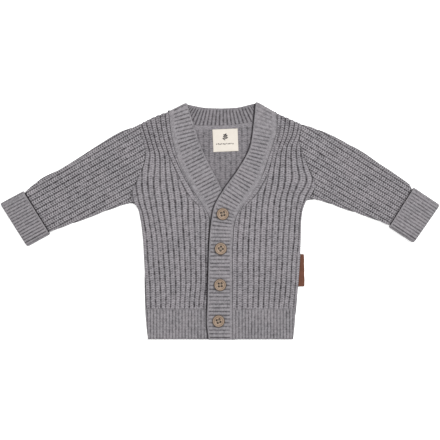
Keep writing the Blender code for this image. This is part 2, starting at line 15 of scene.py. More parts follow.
import bpy
import numpy as np
from mathutils import Matrix, Vector


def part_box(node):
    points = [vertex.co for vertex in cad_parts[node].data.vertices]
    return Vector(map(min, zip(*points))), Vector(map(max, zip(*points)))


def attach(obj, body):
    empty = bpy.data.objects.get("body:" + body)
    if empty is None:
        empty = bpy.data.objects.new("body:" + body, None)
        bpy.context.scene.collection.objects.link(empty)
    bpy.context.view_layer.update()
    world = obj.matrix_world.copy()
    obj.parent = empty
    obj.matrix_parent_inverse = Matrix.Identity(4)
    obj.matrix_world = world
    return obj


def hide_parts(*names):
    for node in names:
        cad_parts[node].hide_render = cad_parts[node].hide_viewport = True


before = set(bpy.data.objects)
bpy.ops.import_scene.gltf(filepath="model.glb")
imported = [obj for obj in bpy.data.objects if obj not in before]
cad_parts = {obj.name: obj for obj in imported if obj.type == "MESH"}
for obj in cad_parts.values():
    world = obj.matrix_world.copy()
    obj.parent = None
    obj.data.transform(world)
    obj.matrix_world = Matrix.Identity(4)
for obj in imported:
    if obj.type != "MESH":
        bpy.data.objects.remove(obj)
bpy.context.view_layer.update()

MM = 0.001

# %% [markdown]
# ## Smooth lines from short tables
#
# A pattern cutter draws a seam through a few measured points with a French curve. `curve` does
# the same: it takes rows of (place, value) and gives back a function with no corners in it.
# `ease` is a soft switch from 0 to 1 and `mix` finds a place part of the way between two others.

# %% Curves, blends and soft switches
def curve(table):
    """A smooth line through rows of (place, value), as a function of place."""
    place, value = np.array(sorted(table), float).T
    slope = np.gradient(value, place)

    def at(wanted):
        wanted = np.clip(wanted, place[0], place[-1])
        i = np.clip(np.searchsorted(place, wanted, side="right") - 1, 0, len(place) - 2)
        step = place[i + 1] - place[i]
        u = (wanted - place[i]) / step
        start = value[i] * (1 + 2 * u) * (1 - u) ** 2 + slope[i] * step * u * (1 - u) ** 2
        end = value[i + 1] * u * u * (3 - 2 * u) + slope[i + 1] * step * u * u * (u - 1)
        return start + end

    return at


def mix(a, b, share):
    """What lies at a share of the way from a to b."""
    return a + (b - a) * share


def ease(low, high, value):
    """0 at low and 1 at high, with a soft start and a soft stop."""
    u = np.clip((value - low) / (high - low), 0.0, 1.0)
    return u * u * (3 - 2 * u)


def rounded(distance, reach):
    """The height, from 0 to 1, of a quarter-round edge at a distance inside it."""
    u = 1 - np.clip(distance / reach, 0.0, 1.0)
    return np.sqrt(1 - u * u)


# %% [markdown]
# ## The pattern
#
# These are the seams and edges of the cardigan as it lies, in millimetres. "right" and "left"
# are the wearer's. They are the CAD model's own outlines, so that every knitted piece fits its
# CAD solid. Heights of the layers are read from the CAD nodes.

# %% Layers and outlines
def top_of(node):
    """The highest point of a CAD node, in millimetres."""
    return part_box(node)[1].z / MM


WALL = top_of("back")                       # chunky rib
TRIM = top_of("back_hem")                   # finer rib
LAYER = top_of("front_right") - WALL        # one layer of cloth and the air under it
CUFF_HEIGHT = top_of("cuff_right")
GAP = (CUFF_HEIGHT - 4 * TRIM) / 4
HALF_GAP = -0.12           # sewn edges are drawn together, a little past the CAD's gaps
HEM_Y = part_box("back_hem")[0].y / MM
WELT_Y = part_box("back_hem")[1].y / MM + GAP / 2
BAND_LIFT = (68.0, 38.0)   # the top band climbs over the under band between these heights
LIFT_REACH = 9.5
UNDERARM_FADE = 7.0
CUFF_OVERLAP = 3.0
CUFF_RISE = 0.72

# Columns: y, x.
SIDE = {
    "right": ((-143.7, -87.3), (-107.1, -90.3), (-74.7, -91.4), (-45.9, -92.1),
              (-17.1, -93.9), (4.5, -96.9), (13.5, -99.3), (19.7, -104.1)),
    "left": ((-143.7, 88.3), (-107.1, 92.1), (-78.3, 94.3), (-48.3, 96.3),
             (-24.3, 97.7), (-2.7, 98.1), (11.7, 99.9), (23.9, 104.1)),
}
ARMHOLE = {
    "right": ((19.7, -104.1), (24.3, -106.3), (30.3, -106.5), (43.5, -101.7), (57.1, -95.3),
              (70.5, -90.5), (83.9, -89.7), (97.4, -92.9), (110.5, -96.6), (115.1, -97.9)),
    "left": ((23.9, 104.1), (28.5, 109.6), (33.3, 112.5), (43.5, 113.7), (57.1, 108.9),
             (70.5, 103.0), (83.9, 98.0), (97.4, 95.6), (110.5, 97.9), (115.1, 99.9)),
}
BAND_SEAM = {
    "right": ((-143.7, -11.7), (-30.0, -11.7), (-6.3, -11.7), (5.7, -13.3), (16.5, -19.6),
              (35.1, -31.4), (59.7, -44.8), (83.7, -53.7), (101.7, -57.9), (131.3, -61.5)),
    "left": ((-143.7, 14.9), (-80.7, 14.7), (-25.5, 15.2), (-2.7, 17.3), (9.3, 21.7),
             (23.7, 32.7), (42.2, 45.5), (71.7, 56.7), (92.1, 63.7), (108.9, 68.1),
             (119.7, 68.1), (129.9, 66.9)),
}
BAND_FREE_EDGE = {
    "right": ((-143.7, 13.5), (-20.0, 13.5), (5.0, 12.8), (20.0, 9.5), (35.7, 3.1),
              (62.1, -10.5), (87.3, -22.3), (112.5, -30.7), (142.4, -39.5)),
    "left": ((-143.7, -13.6), (-126.8, -15.7), (-99.3, -15.2), (-62.5, -14.2), (-25.5, -12.9),
             (-0.1, -10.5), (16.5, -6.9), (34.9, 3.1), (58.5, 19.9), (85.4, 35.1),
             (112.5, 39.9), (143.7, 42.9)),
}
# Columns: y at the seam, y at the free edge.
BAND_PAIRS = {
    "right": ((-143.7, -143.7), (-30.0, -30.0), (-12.0, -10.0), (3.5, 10.0), (16.5, 28.5),
              (35.1, 49.5), (56.0, 70.7), (79.0, 91.9), (95.5, 103.0), (113.7, 120.5),
              (131.3, 142.4)),
    "left": ((-143.7, -143.7), (-30.0, -30.0), (-15.0, -14.0), (-1.0, 5.0), (11.0, 23.5),
             (23.7, 41.2), (45.0, 58.5), (71.7, 78.5), (95.0, 100.0), (112.0, 122.0),
             (129.9, 143.7)),
}
# Columns: y at the side, y at the band seam.
FRONT_PAIRS = {
    "right": ((-143.7, -143.7), (19.7, 19.0), (70.5, 73.0), (97.4, 106.0), (115.1, 131.3)),
    "left": ((-143.7, -143.7), (23.9, 23.0), (70.5, 73.0), (97.4, 106.0), (115.1, 129.9)),
}
SHOULDER_BOW = {"right": 1.2, "left": 0.0}
# Columns: x, y; and for the pairs, x at the seam, x at the edge.
NECK_SEAM = ((-61.4, 128.1), (-47.7, 120.3), (-30.3, 114.4), (-12.0, 113.8), (8.0, 114.2),
             (28.0, 116.3), (48.0, 120.2), (67.0, 126.7))
NECK_EDGE = ((-38.6, 139.2), (-33.3, 138.0), (-20.1, 135.5), (-6.4, 134.7), (7.5, 134.7),
             (23.9, 136.0), (35.0, 138.8), (42.6, 140.5))
NECK_PAIRS = ((-61.4, -38.6), (-50.0, -33.3), (-37.0, -26.0), (-20.0, -15.0), (-6.0, -4.0),
              (9.0, 7.5), (22.0, 17.0), (34.0, 26.0), (46.0, 34.5), (67.0, 42.6))
SLEEVE_TOP = {
    "right": ((-97.9, 115.1), (-122.1, 105.3), (-146.1, 90.9), (-168.9, 76.5), (-192.9, 62.1),
              (-219.3, 47.3), (-231.5, 36.6)),
    "left": ((99.9, 115.1), (114.3, 110.7), (145.5, 96.9), (170.7, 83.1), (191.1, 69.3),
             (212.7, 54.9), (227.5, 43.3)),
}
SLEEVE_BOTTOM = {
    "right": ((-104.1, 19.7), (-113.7, 18.5), (-132.9, 11.7), (-152.1, 4.5), (-171.3, -2.7),
              (-191.7, -9.9), (-201.3, -13.3)),
    "left": ((104.1, 23.9), (117.9, 23.6), (132.3, 18.9), (152.7, 11.7), (174.3, 4.5),
             (198.2, -4.9)),
}
# Columns: x, y of mouth top, mouth bottom, wrist top, wrist bottom.
CUFF = {
    "right": ((-236.1, 35.1), (-203.7, -17.1), (-264.0, 20.1), (-231.0, -32.2)),
    "left": ((232.6, 39.3), (202.4, -8.7), (264.0, 18.3), (231.9, -27.9)),
}
print("walls", round(WALL, 2), round(TRIM, 2), "layer", round(LAYER, 2), "gap", round(GAP, 2))

# %% [markdown]
# ## Material maths as plain Python
#
# A material is a graph of nodes. Clicking a sum together node by node is slow to read, so
# `Wire` wraps one socket and lets `+ - *` and powers add the Math nodes. `Finish` holds the
# material; its one method `node` adds any other node, with its settings first and its inputs
# after. Colours go through Mix nodes, because a Math node would turn them grey.

# %% Wires and finishes
class Wire:
    """One socket of a material, on which arithmetic adds Math nodes."""

    def __init__(self, finish, socket):
        self.finish = finish
        self.socket = socket

    def maths(self, operation, *others):
        inputs = dict(enumerate((self, *others)))
        return self.finish.node("ShaderNodeMath", {"operation": operation}, inputs)

    def __add__(self, other):
        return self.maths("ADD", other)

    __radd__ = __add__

    def __mul__(self, other):
        return self.maths("MULTIPLY", other)

    __rmul__ = __mul__

    def __sub__(self, other):
        return self.maths("SUBTRACT", other)

    def __rsub__(self, other):
        inputs = {0: other, 1: self}
        return self.finish.node("ShaderNodeMath", {"operation": "SUBTRACT"}, inputs)

    def __pow__(self, other):
        return self.maths("POWER", other)

    def sine(self):
        return self.maths("SINE")

    def size(self):
        return self.maths("ABSOLUTE")

    def fraction(self):
        return self.maths("FRACT")

    def clamped(self):
        inputs = {0: self, 1: 0.0}
        lifted = self.finish.node("ShaderNodeMath", {"operation": "MAXIMUM"}, inputs)
        return lifted.maths("MINIMUM", 1.0)


class Finish:
    """A material that is built up node by node."""

    def __init__(self, name):
        self.material = bpy.data.materials.new(name)
        self.material.use_nodes = True
        self.tree = self.material.node_tree
        self.shader = self.tree.nodes["Principled BSDF"]

    def plug(self, socket, value):
        """Sets a socket to a number or a colour, or links a wire to it."""
        if isinstance(value, Wire):
            self.tree.links.new(value.socket, socket)
        else:
            socket.default_value = value

    def node(self, kind, settings=None, inputs=None, output=0):
        """Adds a node: its settings first, then the values or wires of its inputs."""
        made = self.tree.nodes.new(kind)
        for name, value in (settings or {}).items():
            setattr(made, name, value)
        for name, value in (inputs or {}).items():
            self.plug(made.inputs[name], value)
        return Wire(self, made.outputs[output])

    def blend(self, share, first, second):
        """A colour between two colours."""
        inputs = {0: share, 6: first, 7: second}
        return self.node("ShaderNodeMix", {"data_type": "RGBA"}, inputs, output=2)

    def noise(self, where, scale, detail=2.0, rough=0.5):
        """Soft noise from 0 to 1."""
        inputs = {"Vector": where, "Scale": scale, "Detail": detail, "Roughness": rough}
        return self.node("ShaderNodeTexNoise", inputs=inputs)

    def place(self):
        """Where a point is on the object, in metres."""
        return self.node("ShaderNodeTexCoord", output="Object")

    def attribute(self, name):
        """The three numbers that a mesh carries at each point, as three wires."""
        carried = self.node("ShaderNodeAttribute", {"attribute_name": name}, output="Vector")
        first = self.node("ShaderNodeSeparateXYZ", inputs={0: carried})
        return [Wire(self, socket) for socket in first.socket.node.outputs]

    def surface(self, **sockets):
        """Sets or links the shader's own sockets, named with _ for a space."""
        for name, value in sockets.items():
            self.plug(self.shader.inputs[name.replace("_", " ")], value)

    def bump(self, height, distance, strength=1.0):
        """A fine relief of the normal, from a height in the range 0 to 1."""
        inputs = {"Height": height, "Distance": distance, "Strength": strength}
        self.surface(Normal=self.node("ShaderNodeBump", inputs=inputs))


def grey(level):
    """A neutral colour."""
    return (level, level, level, 1.0)


print("material helpers ready")

# %% [markdown]
# ## The yarn
#
# The real yarn is a soft heathered grey: fibres of lighter and darker grey are spun together,
# so the colour breaks up into tiny flecks. Between the ribs the yarn sits deep in shade.
# Every knitted mesh carries a `knit` attribute with three numbers at each point: how many ribs
# across, how many rows along, and how high the point stands (0 in a groove, 1 on a crest). The
# finish reads them to paint shade into the colour of the grooves, of the gaps between the
# stitches and of the crease down each rib, and to lay the twisted plies along each leg of the
# stitches. A picture of knitting wrapped over the mesh would be simpler, but it would stretch
# wherever the ribs bend, and this one follows them.

# %% The knitted finish
def yarn(name, crest, groove_shade, gap_shade_and_bump, crease, ply_depth):
    """Heathered yarn: its colour on the crests, the colour of the painted shade in its grooves,
    how dark the painted shade is in the gaps between its stitches (which also sets their bump)
    and down the creases of its ribs, and the depth of its plies in millimetres."""
    finish = Finish(name)
    ribs, rows, height = finish.attribute("knit")
    where = finish.place()

    across = (ribs.fraction() * 2 - 1).size()
    along = rows + across * 0.5
    gap = ((along + 0.25) * math.pi * 2).sine() * 0.5 + 0.5
    plies = ((along * 2 + across * 2.5) * math.pi * 2).sine() * 0.5 + 0.5
    middle = (1 - across * 3.4).clamped()
    fleck = finish.noise(where, 700.0, 3.0, 0.7)
    mottle = finish.noise(where, 300.0, 2.0, 0.6)
    patch = finish.noise(where, 55.0, 2.0, 0.5)
    fibres = finish.noise(where, 4200.0, 2.0, 0.7)

    # Painted shade: the colour darkens where the knit is low in the grooves (depth), in the gaps
    # between the stitches (gap) and down the crease of each rib (middle).
    depth = (height ** 1.15).clamped()
    unevenness = (fleck - 0.5) * 1.1 + (mottle - 0.5) * 1.1 + (patch - 0.5) * 0.25
    shade = gap * (mottle + height * 0.9) * gap_shade_and_bump + middle * (gap * 0.7 + 0.3) * crease
    lit = depth * 1.2 - shade + unevenness + gap_shade_and_bump * 0.3 - 0.16
    cast = finish.blend(patch, (0.97, 0.985, 1.0, 1.0), (1.0, 0.965, 0.98, 1.0))
    tone = finish.blend(lit.clamped(), (*groove_shade, 1.0), (*crest, 1.0))
    colour = finish.node("ShaderNodeMix", {"data_type": "RGBA", "blend_type": "MULTIPLY"},
                         {0: 1.0, 6: tone, 7: cast}, output=2)
    finish.surface(Base_Color=colour, Roughness=0.93, Sheen_Weight=0.08,
                   Sheen_Roughness=0.55, Specular_IOR_Level=0.15)
    relief = (1 - gap) * gap_shade_and_bump * 2.4 + plies * 0.35 + fibres * 0.5 + fleck * 0.4
    finish.bump(relief, ply_depth * MM, 0.6)
    return finish.material


# Columns: crest colour, colour of the painted shade in the grooves, painted shade in the gaps
# between stitches (and their bump), painted shade down the creases, ply depth.
YARNS = {
    "chunky_yarn": ((0.256, 0.244, 0.255), (0.014, 0.012, 0.014), 0.19, 0.30, 0.30),
    "sleeve_yarn": ((0.282, 0.27, 0.281), (0.018, 0.016, 0.018), 0.25, 0.62, 0.32),
    "inside_yarn": ((0.20, 0.19, 0.199), (0.03, 0.027, 0.03), 0.14, 0.05, 0.20),
    "fine_yarn": ((0.236, 0.226, 0.235), (0.042, 0.039, 0.042), 0.18, 0.05, 0.20),
}
chunky_yarn, sleeve_yarn, inside_yarn, fine_yarn = (yarn(n, *row) for n, row in YARNS.items())
print("yarns:", *YARNS)

# %% [markdown]
# ## The shape of a rib
#
# One rib is a column of knit stitches standing up between two grooves of purl stitches. Each
# knit stitch is a V of two legs, so a rib has a fine crease down its middle, and each row
# pinches the legs a little. `rib_height` turns a place, counted in ribs and rows, into a height
# from 0 to 1. It is used for the geometry, so the ribs have real depth and real shadows, and the
# yarn's finish also paints shade into its colour where it is low.

# %% Rib and stitch relief
def from_middle(ribs):
    """The distance from the middle of a rib, 0 there and 1 in the grooves beside it."""
    return np.abs(2 * (ribs - np.floor(ribs)) - 1)


def stitch_legs(rows, across):
    """1 on the legs of the stitches and 0 where two rows meet."""
    return np.abs(np.sin(math.pi * (rows + 0.5 * across)))


def rib_height(ribs, rows, pinch=0.30, crease=0.20, fullness=0.48):
    """The height of the knit at a place counted in ribs across and rows along."""
    across = from_middle(ribs)
    body = np.cos(across * math.pi / 2).clip(0.0, 1.0) ** fullness
    between = 1 - stitch_legs(rows, across) ** 0.8
    middle = np.exp(-(across / 0.17) ** 2)
    return body * (1 - pinch * between) - crease * middle * (0.6 + 0.4 * between)


def plain_height(ribs, rows):
    """The height of small smooth stitches, as in the linking strip beside a seam."""
    across = from_middle(ribs)
    return 0.92 - 0.16 * (1 - stitch_legs(rows, across)) - 0.14 * (1 - across) ** 3


sample = np.linspace(0, 1, 9)
print("rib section:", rib_height(sample, 0.5 + 0 * sample).round(2))

# %% [markdown]
# ## From a grid of points to a piece of cloth
#
# A knitted piece is a shell: a fine outer face with the stitches, a coarse inner face that
# nobody sees closely, and a wall that joins them round the edge. `shell` takes both faces as
# grids. The coarse face uses only some of the fine grid's rows and columns, and each polygon of
# the wall takes up all the fine points between two coarse ones, so the mesh is closed. `press`
# pushes the outer face in along its own normal by the depth of the knit.

# %% Shells and pressed stitches
def normals_of(points, closed=False):
    """The outward direction at every point of a grid."""
    if closed:
        wrapped = np.concatenate([points[:, -1:], points, points[:, :1]], axis=1)
        along_columns = wrapped[:, 2:] - wrapped[:, :-2]
    else:
        along_columns = np.gradient(points, axis=1)
    along_rows = np.gradient(points, axis=0)
    normal = np.cross(along_columns, along_rows)
    size = np.linalg.norm(normal, axis=2, keepdims=True)
    return normal / np.maximum(size, 1e-9)


def press(points, height, depth, closed=False, facing=1.0):
    """Moves the points of a face into the cloth where the knit is low, and none under the floor."""
    normal = normals_of(points, closed)
    middle = normal[normal.shape[0] // 2, normal.shape[1] // 4, 2]
    normal *= np.sign(middle) * facing
    pressed = points - normal * (depth * (1 - height))[..., None]
    pressed[..., 2] = np.maximum(pressed[..., 2], 0.0)
    return pressed


def some(count, step):
    """About one place in every step of count places, with both ends."""
    last = count - 1
    return np.unique(np.linspace(0, last, max(2, round(last / step) + 1)).round().astype(int))


def numbered(grid, first=0):
    """The numbers of the points of a grid, counted row by row from the first."""
    rows, columns = grid.shape[:2]
    return first + np.arange(rows * columns).reshape(rows, columns)


def quads(numbers, closed):
    """The quads between the neighbours of a grid of point numbers."""
    if closed:
        numbers = np.concatenate([numbers, numbers[:, :1]], axis=1)
    a, b = numbers[:-1, :-1], numbers[:-1, 1:]
    c, d = numbers[1:, 1:], numbers[1:, :-1]
    return np.stack([a, b, c, d], axis=-1).reshape(-1, 4)


def capped(numbers):
    """The faces of a tube of rings, with a flat face at each end."""
    return [*quads(numbers, closed=True), numbers[0][::-1], numbers[-1]]


def wall(fine, coarse, picks):
    """Polygons between a fine edge and a coarse one, where picks places one on the other."""
    faces = []
    for i in range(len(picks) - 1):
        run = fine[picks[i]:picks[i + 1] + 1]
        faces.append([coarse[i], coarse[i + 1], *run[::-1]])
    return faces


def into_scene(name, data):
    """A new object in the scene that shows a mesh, a light or a camera."""
    thing = bpy.data.objects.new(name, data)
    bpy.context.scene.collection.objects.link(thing)
    return thing


def carry(mesh, name, numbers):
    """Gives every point of a mesh three numbers that a finish can read."""
    attribute = mesh.attributes.new(name, "FLOAT_VECTOR", "POINT")
    attribute.data.foreach_set("vector", numbers.astype(np.float32).ravel())


def flip_if_inside_out(mesh):
    """Turns the faces over if the closed mesh has a negative volume."""
    mesh.calc_loop_triangles()
    corners = np.zeros(len(mesh.loop_triangles) * 3, np.int32)
    mesh.loop_triangles.foreach_get("vertices", corners)
    places = np.zeros(len(mesh.vertices) * 3)
    mesh.vertices.foreach_get("co", places)
    a, b, c = places.reshape(-1, 3)[corners.reshape(-1, 3)].transpose(1, 0, 2)
    if np.einsum("ij,ij->i", a, np.cross(b, c)).sum() < 0:
        mesh.flip_normals()


def build(name, points, faces, material, **carried):
    """A closed mesh object from points in millimetres, with the attributes that it carries."""
    mesh = bpy.data.meshes.new(name)
    counts = np.array([len(f) for f in faces])
    corners = np.concatenate([np.asarray(f) for f in faces])
    mesh.vertices.add(len(points))
    mesh.vertices.foreach_set("co", (np.asarray(points) * MM).astype(np.float32).ravel())
    mesh.loops.add(len(corners))
    mesh.loops.foreach_set("vertex_index", corners.astype(np.int32))
    mesh.polygons.add(len(counts))
    mesh.polygons.foreach_set("loop_start", np.concatenate([[0], counts.cumsum()[:-1]]))
    mesh.update(calc_edges=True)
    mesh.validate()
    for attribute, numbers in carried.items():
        carry(mesh, attribute, numbers)
    flip_if_inside_out(mesh)
    mesh.shade_smooth()
    mesh.materials.append(material)
    return into_scene(name, mesh)


def shell(name, outer, inner, row_picks, column_picks, knit, material, closed=False):
    """A closed piece of cloth from a fine outer grid and a coarse inner grid."""
    out = numbered(outer)
    inn = numbered(inner, first=out.size)
    faces = [*quads(out, closed), *quads(inn, closed)[:, ::-1]]
    ring = np.append(column_picks, out.shape[1]) if closed else column_picks
    for end in (0, -1):
        fine, coarse = out[end], inn[end]
        if closed:
            fine, coarse = np.append(fine, fine[0]), np.append(coarse, coarse[0])
        made = wall(fine, coarse, ring)
        faces += [f[::-1] for f in made] if end else made
        if not closed:
            made = wall(out[:, end], inn[:, end], row_picks)
            faces += made if end else [f[::-1] for f in made]
    inner_knit = knit[np.ix_(row_picks, column_picks)]
    points = np.concatenate([outer.reshape(-1, 3), inner.reshape(-1, 3)])
    numbers = np.concatenate([knit.reshape(-1, 3), inner_knit.reshape(-1, 3)])
    return build(name, points, faces, material, knit=numbers)


def declare(piece, slot, *nodes):
    """Attaches a piece to the root, hides its CAD nodes and prints how it fits the first one.
    Its slot is not used.
    """
    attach(piece, "root")
    if nodes:
        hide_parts(*nodes)
        low, high = (np.array(corner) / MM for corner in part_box(nodes[0]))
        co = np.array([v.co for v in piece.data.vertices]) / MM
        off = max(np.abs(co.min(0) - low).max(), np.abs(co.max(0) - high).max())
        print(piece.name, len(piece.data.polygons), "faces, within", round(off, 2), "mm of CAD")


# %% [markdown]
# ## How an edge of cloth looks in section
#
# A knitted edge is never sharp. Where a panel is sewn to its neighbour or simply ends, it rolls
# over within a couple of millimetres: the `RIM`. At a seam the two edges are drawn together,
# so the roll is much tighter: the `SEAM`. Where the front folds down round the side or
# the shoulder to meet the back, it makes a soft round nose that tucks in under itself: the
# `FOLD`. All three are short tables of the same length, so an edge can pass from one to another,
# as it does at the underarm.

# %% Edge sections
# Columns: how far in from the edge, share of the height (fold) or of the wall (rim).
FOLD = np.array(((2.0, 0.00), (0.9, 0.03), (0.25, 0.13), (0.0, 0.28), (0.1, 0.46), (0.5, 0.66),
                 (1.1, 0.81), (1.8, 0.90), (2.6, 0.955), (3.6, 0.99), (4.6, 1.00)))
RIM = np.array(((0.35, 0.00), (0.12, 0.06), (0.0, 0.20), (0.02, 0.42), (0.12, 0.62), (0.32, 0.79),
                (0.62, 0.90), (1.0, 0.96), (1.5, 0.99), (2.0, 1.00), (2.6, 1.00)))
SEAM = np.array(((0.10, 0.00), (0.03, 0.15), (0.0, 0.35), (0.0, 0.60), (0.02, 0.78),
                 (0.05, 0.89), (0.10, 0.94), (0.2, 0.97), (0.4, 0.99), (0.8, 1.00), (1.2, 1.00)))
FOLD_TUCK = 2.9      # the inner face starts this far inside a folded edge
RIM_TUCK = 0.35      # and this far inside a plain one
FINE_ROWS = 4        # grid rows to a row of stitches
COARSE = (9, 6)      # the inner face keeps about one row in 9 and one column in 6
THICKNESS = {"chunky": WALL, "fine": TRIM}
ROW = {"chunky": 2.78, "fine": 1.9}
RIB_DEPTH = {"chunky": 1.5, "fine": 0.85}
HEM_PITCH = 3.8
NO_RIBS = 0.82       # the height of the knit where its ribs are faint


def inward(side):
    """The sign of X from one side of the body to its middle."""
    return 1.0 if side == "right" else -1.0


def with_ends(start, middle, end):
    """Places along a line: a section at each end and even steps between."""
    return np.concatenate([start, middle[1:-1], end])


def section_shares(count, start=None, end=None):
    """Shares of the height along a line of points, which are 1 but for the sections at its ends."""
    shares = np.ones(count)
    if start is not None:
        shares[:len(start)] = start[:, 1]
    if end is not None:
        shares[-len(end):] = end[::-1, 1]
    return shares


def walked_along(line):
    """The distance from the start of a line of points to each of them."""
    steps = np.linalg.norm(np.diff(line, axis=0), axis=1)
    return np.concatenate([[0.0], steps.cumsum()])


def fold_share(side, y):
    """1 where the front folds down round the side seam, and 0 from the underarm up."""
    return np.clip((SIDE[side][-1][0] - y) / UNDERARM_FADE, 0.0, 1.0)


def band_lift(y):
    """How far the top band is raised where it lies on the under band."""
    return LAYER * ease(*BAND_LIFT, y)


TOP_BAND_SHADE = (0.6, 0.95)    # the middle and the width of the real dip and painted shade beside the top band
CORNER_END = 4.0             # it stops this far below the end of the band


def top_band_dip_and_shade(x, y):
    """1 in the corner beside the free edge of the top band, where the cloth sinks and shade is
    painted into its colour, else 0.
    """
    outside = curve(BAND_FREE_EDGE["left"])(y) - x
    sunk_and_shaded = np.exp(-((outside - TOP_BAND_SHADE[0]) / TOP_BAND_SHADE[1]) ** 2)
    return sunk_and_shaded * (y < BAND_FREE_EDGE["left"][-1][0] - CORNER_END)


TAB_ROOM = 1.5       # the edge is fully up to this far beyond the tab
TAB_SLOPE = 4.5      # and comes down within this length


def tab_lift(side, y):
    """How high the folded edge is held up where the leather tab passes under it."""
    if side == "right":
        return 0.0 * y
    low, high = (corner.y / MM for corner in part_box("side_tab"))
    outside = np.maximum(low - TAB_ROOM - y, y - high - TAB_ROOM)
    return (top_of("side_tab") + GAP) * np.clip(1 - outside / TAB_SLOPE, 0.0, 1.0)


print("edge sections of", len(FOLD), "steps")

# %% [markdown]
# ## Soft creases
#
# Laid-out knitwear is never quite flat. A few long, shallow troughs and swells lie where the
# cloth was smoothed by hand: from the underarms across the sleeves, along the sides, and beside
# the button band. A cloth simulation would find its own, so these are listed in a short
# table, uneven in length and depth. A crease is a soft line from one point to another.

# %% A table of creases
# Columns: x and y of one end, x and y of the other, half width, height (below 0 is a trough).
CREASES = (
    (-112, 34, -150, 52, 6.0, -0.50), (-120, 22, -172, 26, 5.0, -0.40),
    (-116, 70, -170, 66, 8.0, 0.35), (-180, 8, -214, 26, 5.0, -0.45),
    (118, 36, 152, 58, 6.0, -0.50), (126, 27, 176, 33, 5.5, -0.38),
    (120, 78, 168, 74, 8.0, 0.35), (182, 20, 214, 38, 5.0, -0.45),
    (-84, 8, -66, 44, 6.0, -0.40), (88, 12, 74, 46, 6.0, -0.42),
    (-74, -20, -78, -96, 9.0, 0.30), (-40, -10, -44, -92, 10.0, -0.28),
    (44, -6, 40, -84, 10.0, -0.28), (76, -28, 72, -100, 9.0, 0.30),
    (-70, 96, -74, 60, 6.0, -0.30), (80, 100, 84, 64, 6.0, -0.30),
)


def creases(x, y):
    """How far the cloth stands up or sinks at a place."""
    total = np.zeros(np.broadcast(x, y).shape)
    for x0, y0, x1, y1, half_width, height in CREASES:
        along = np.array((x1 - x0, y1 - y0), float)
        length = np.linalg.norm(along)
        along /= length
        walked = (x - x0) * along[0] + (y - y0) * along[1]
        off = (x - x0) * along[1] - (y - y0) * along[0]
        fade = ease(0.0, 0.35, walked / length) * ease(1.0, 0.65, walked / length)
        total += height * fade * np.exp(-(off / half_width) ** 2)
    return total


print(len(CREASES), "creases")

# %% [markdown]
# ## The two fronts
#
# Each front is knitted from the hem up, with ribs that run straight up its middle. It is fully
# fashioned: towards the shoulder the ribs fan out and follow the armhole, and one rib follows
# the slant of the neck, where the upright ribs run into it and end. No formula gives that, so
# the grooves between the ribs are laid down one by one in a table, like the lines of a
# knitting chart. Reading across the table gives the rib count at any place.

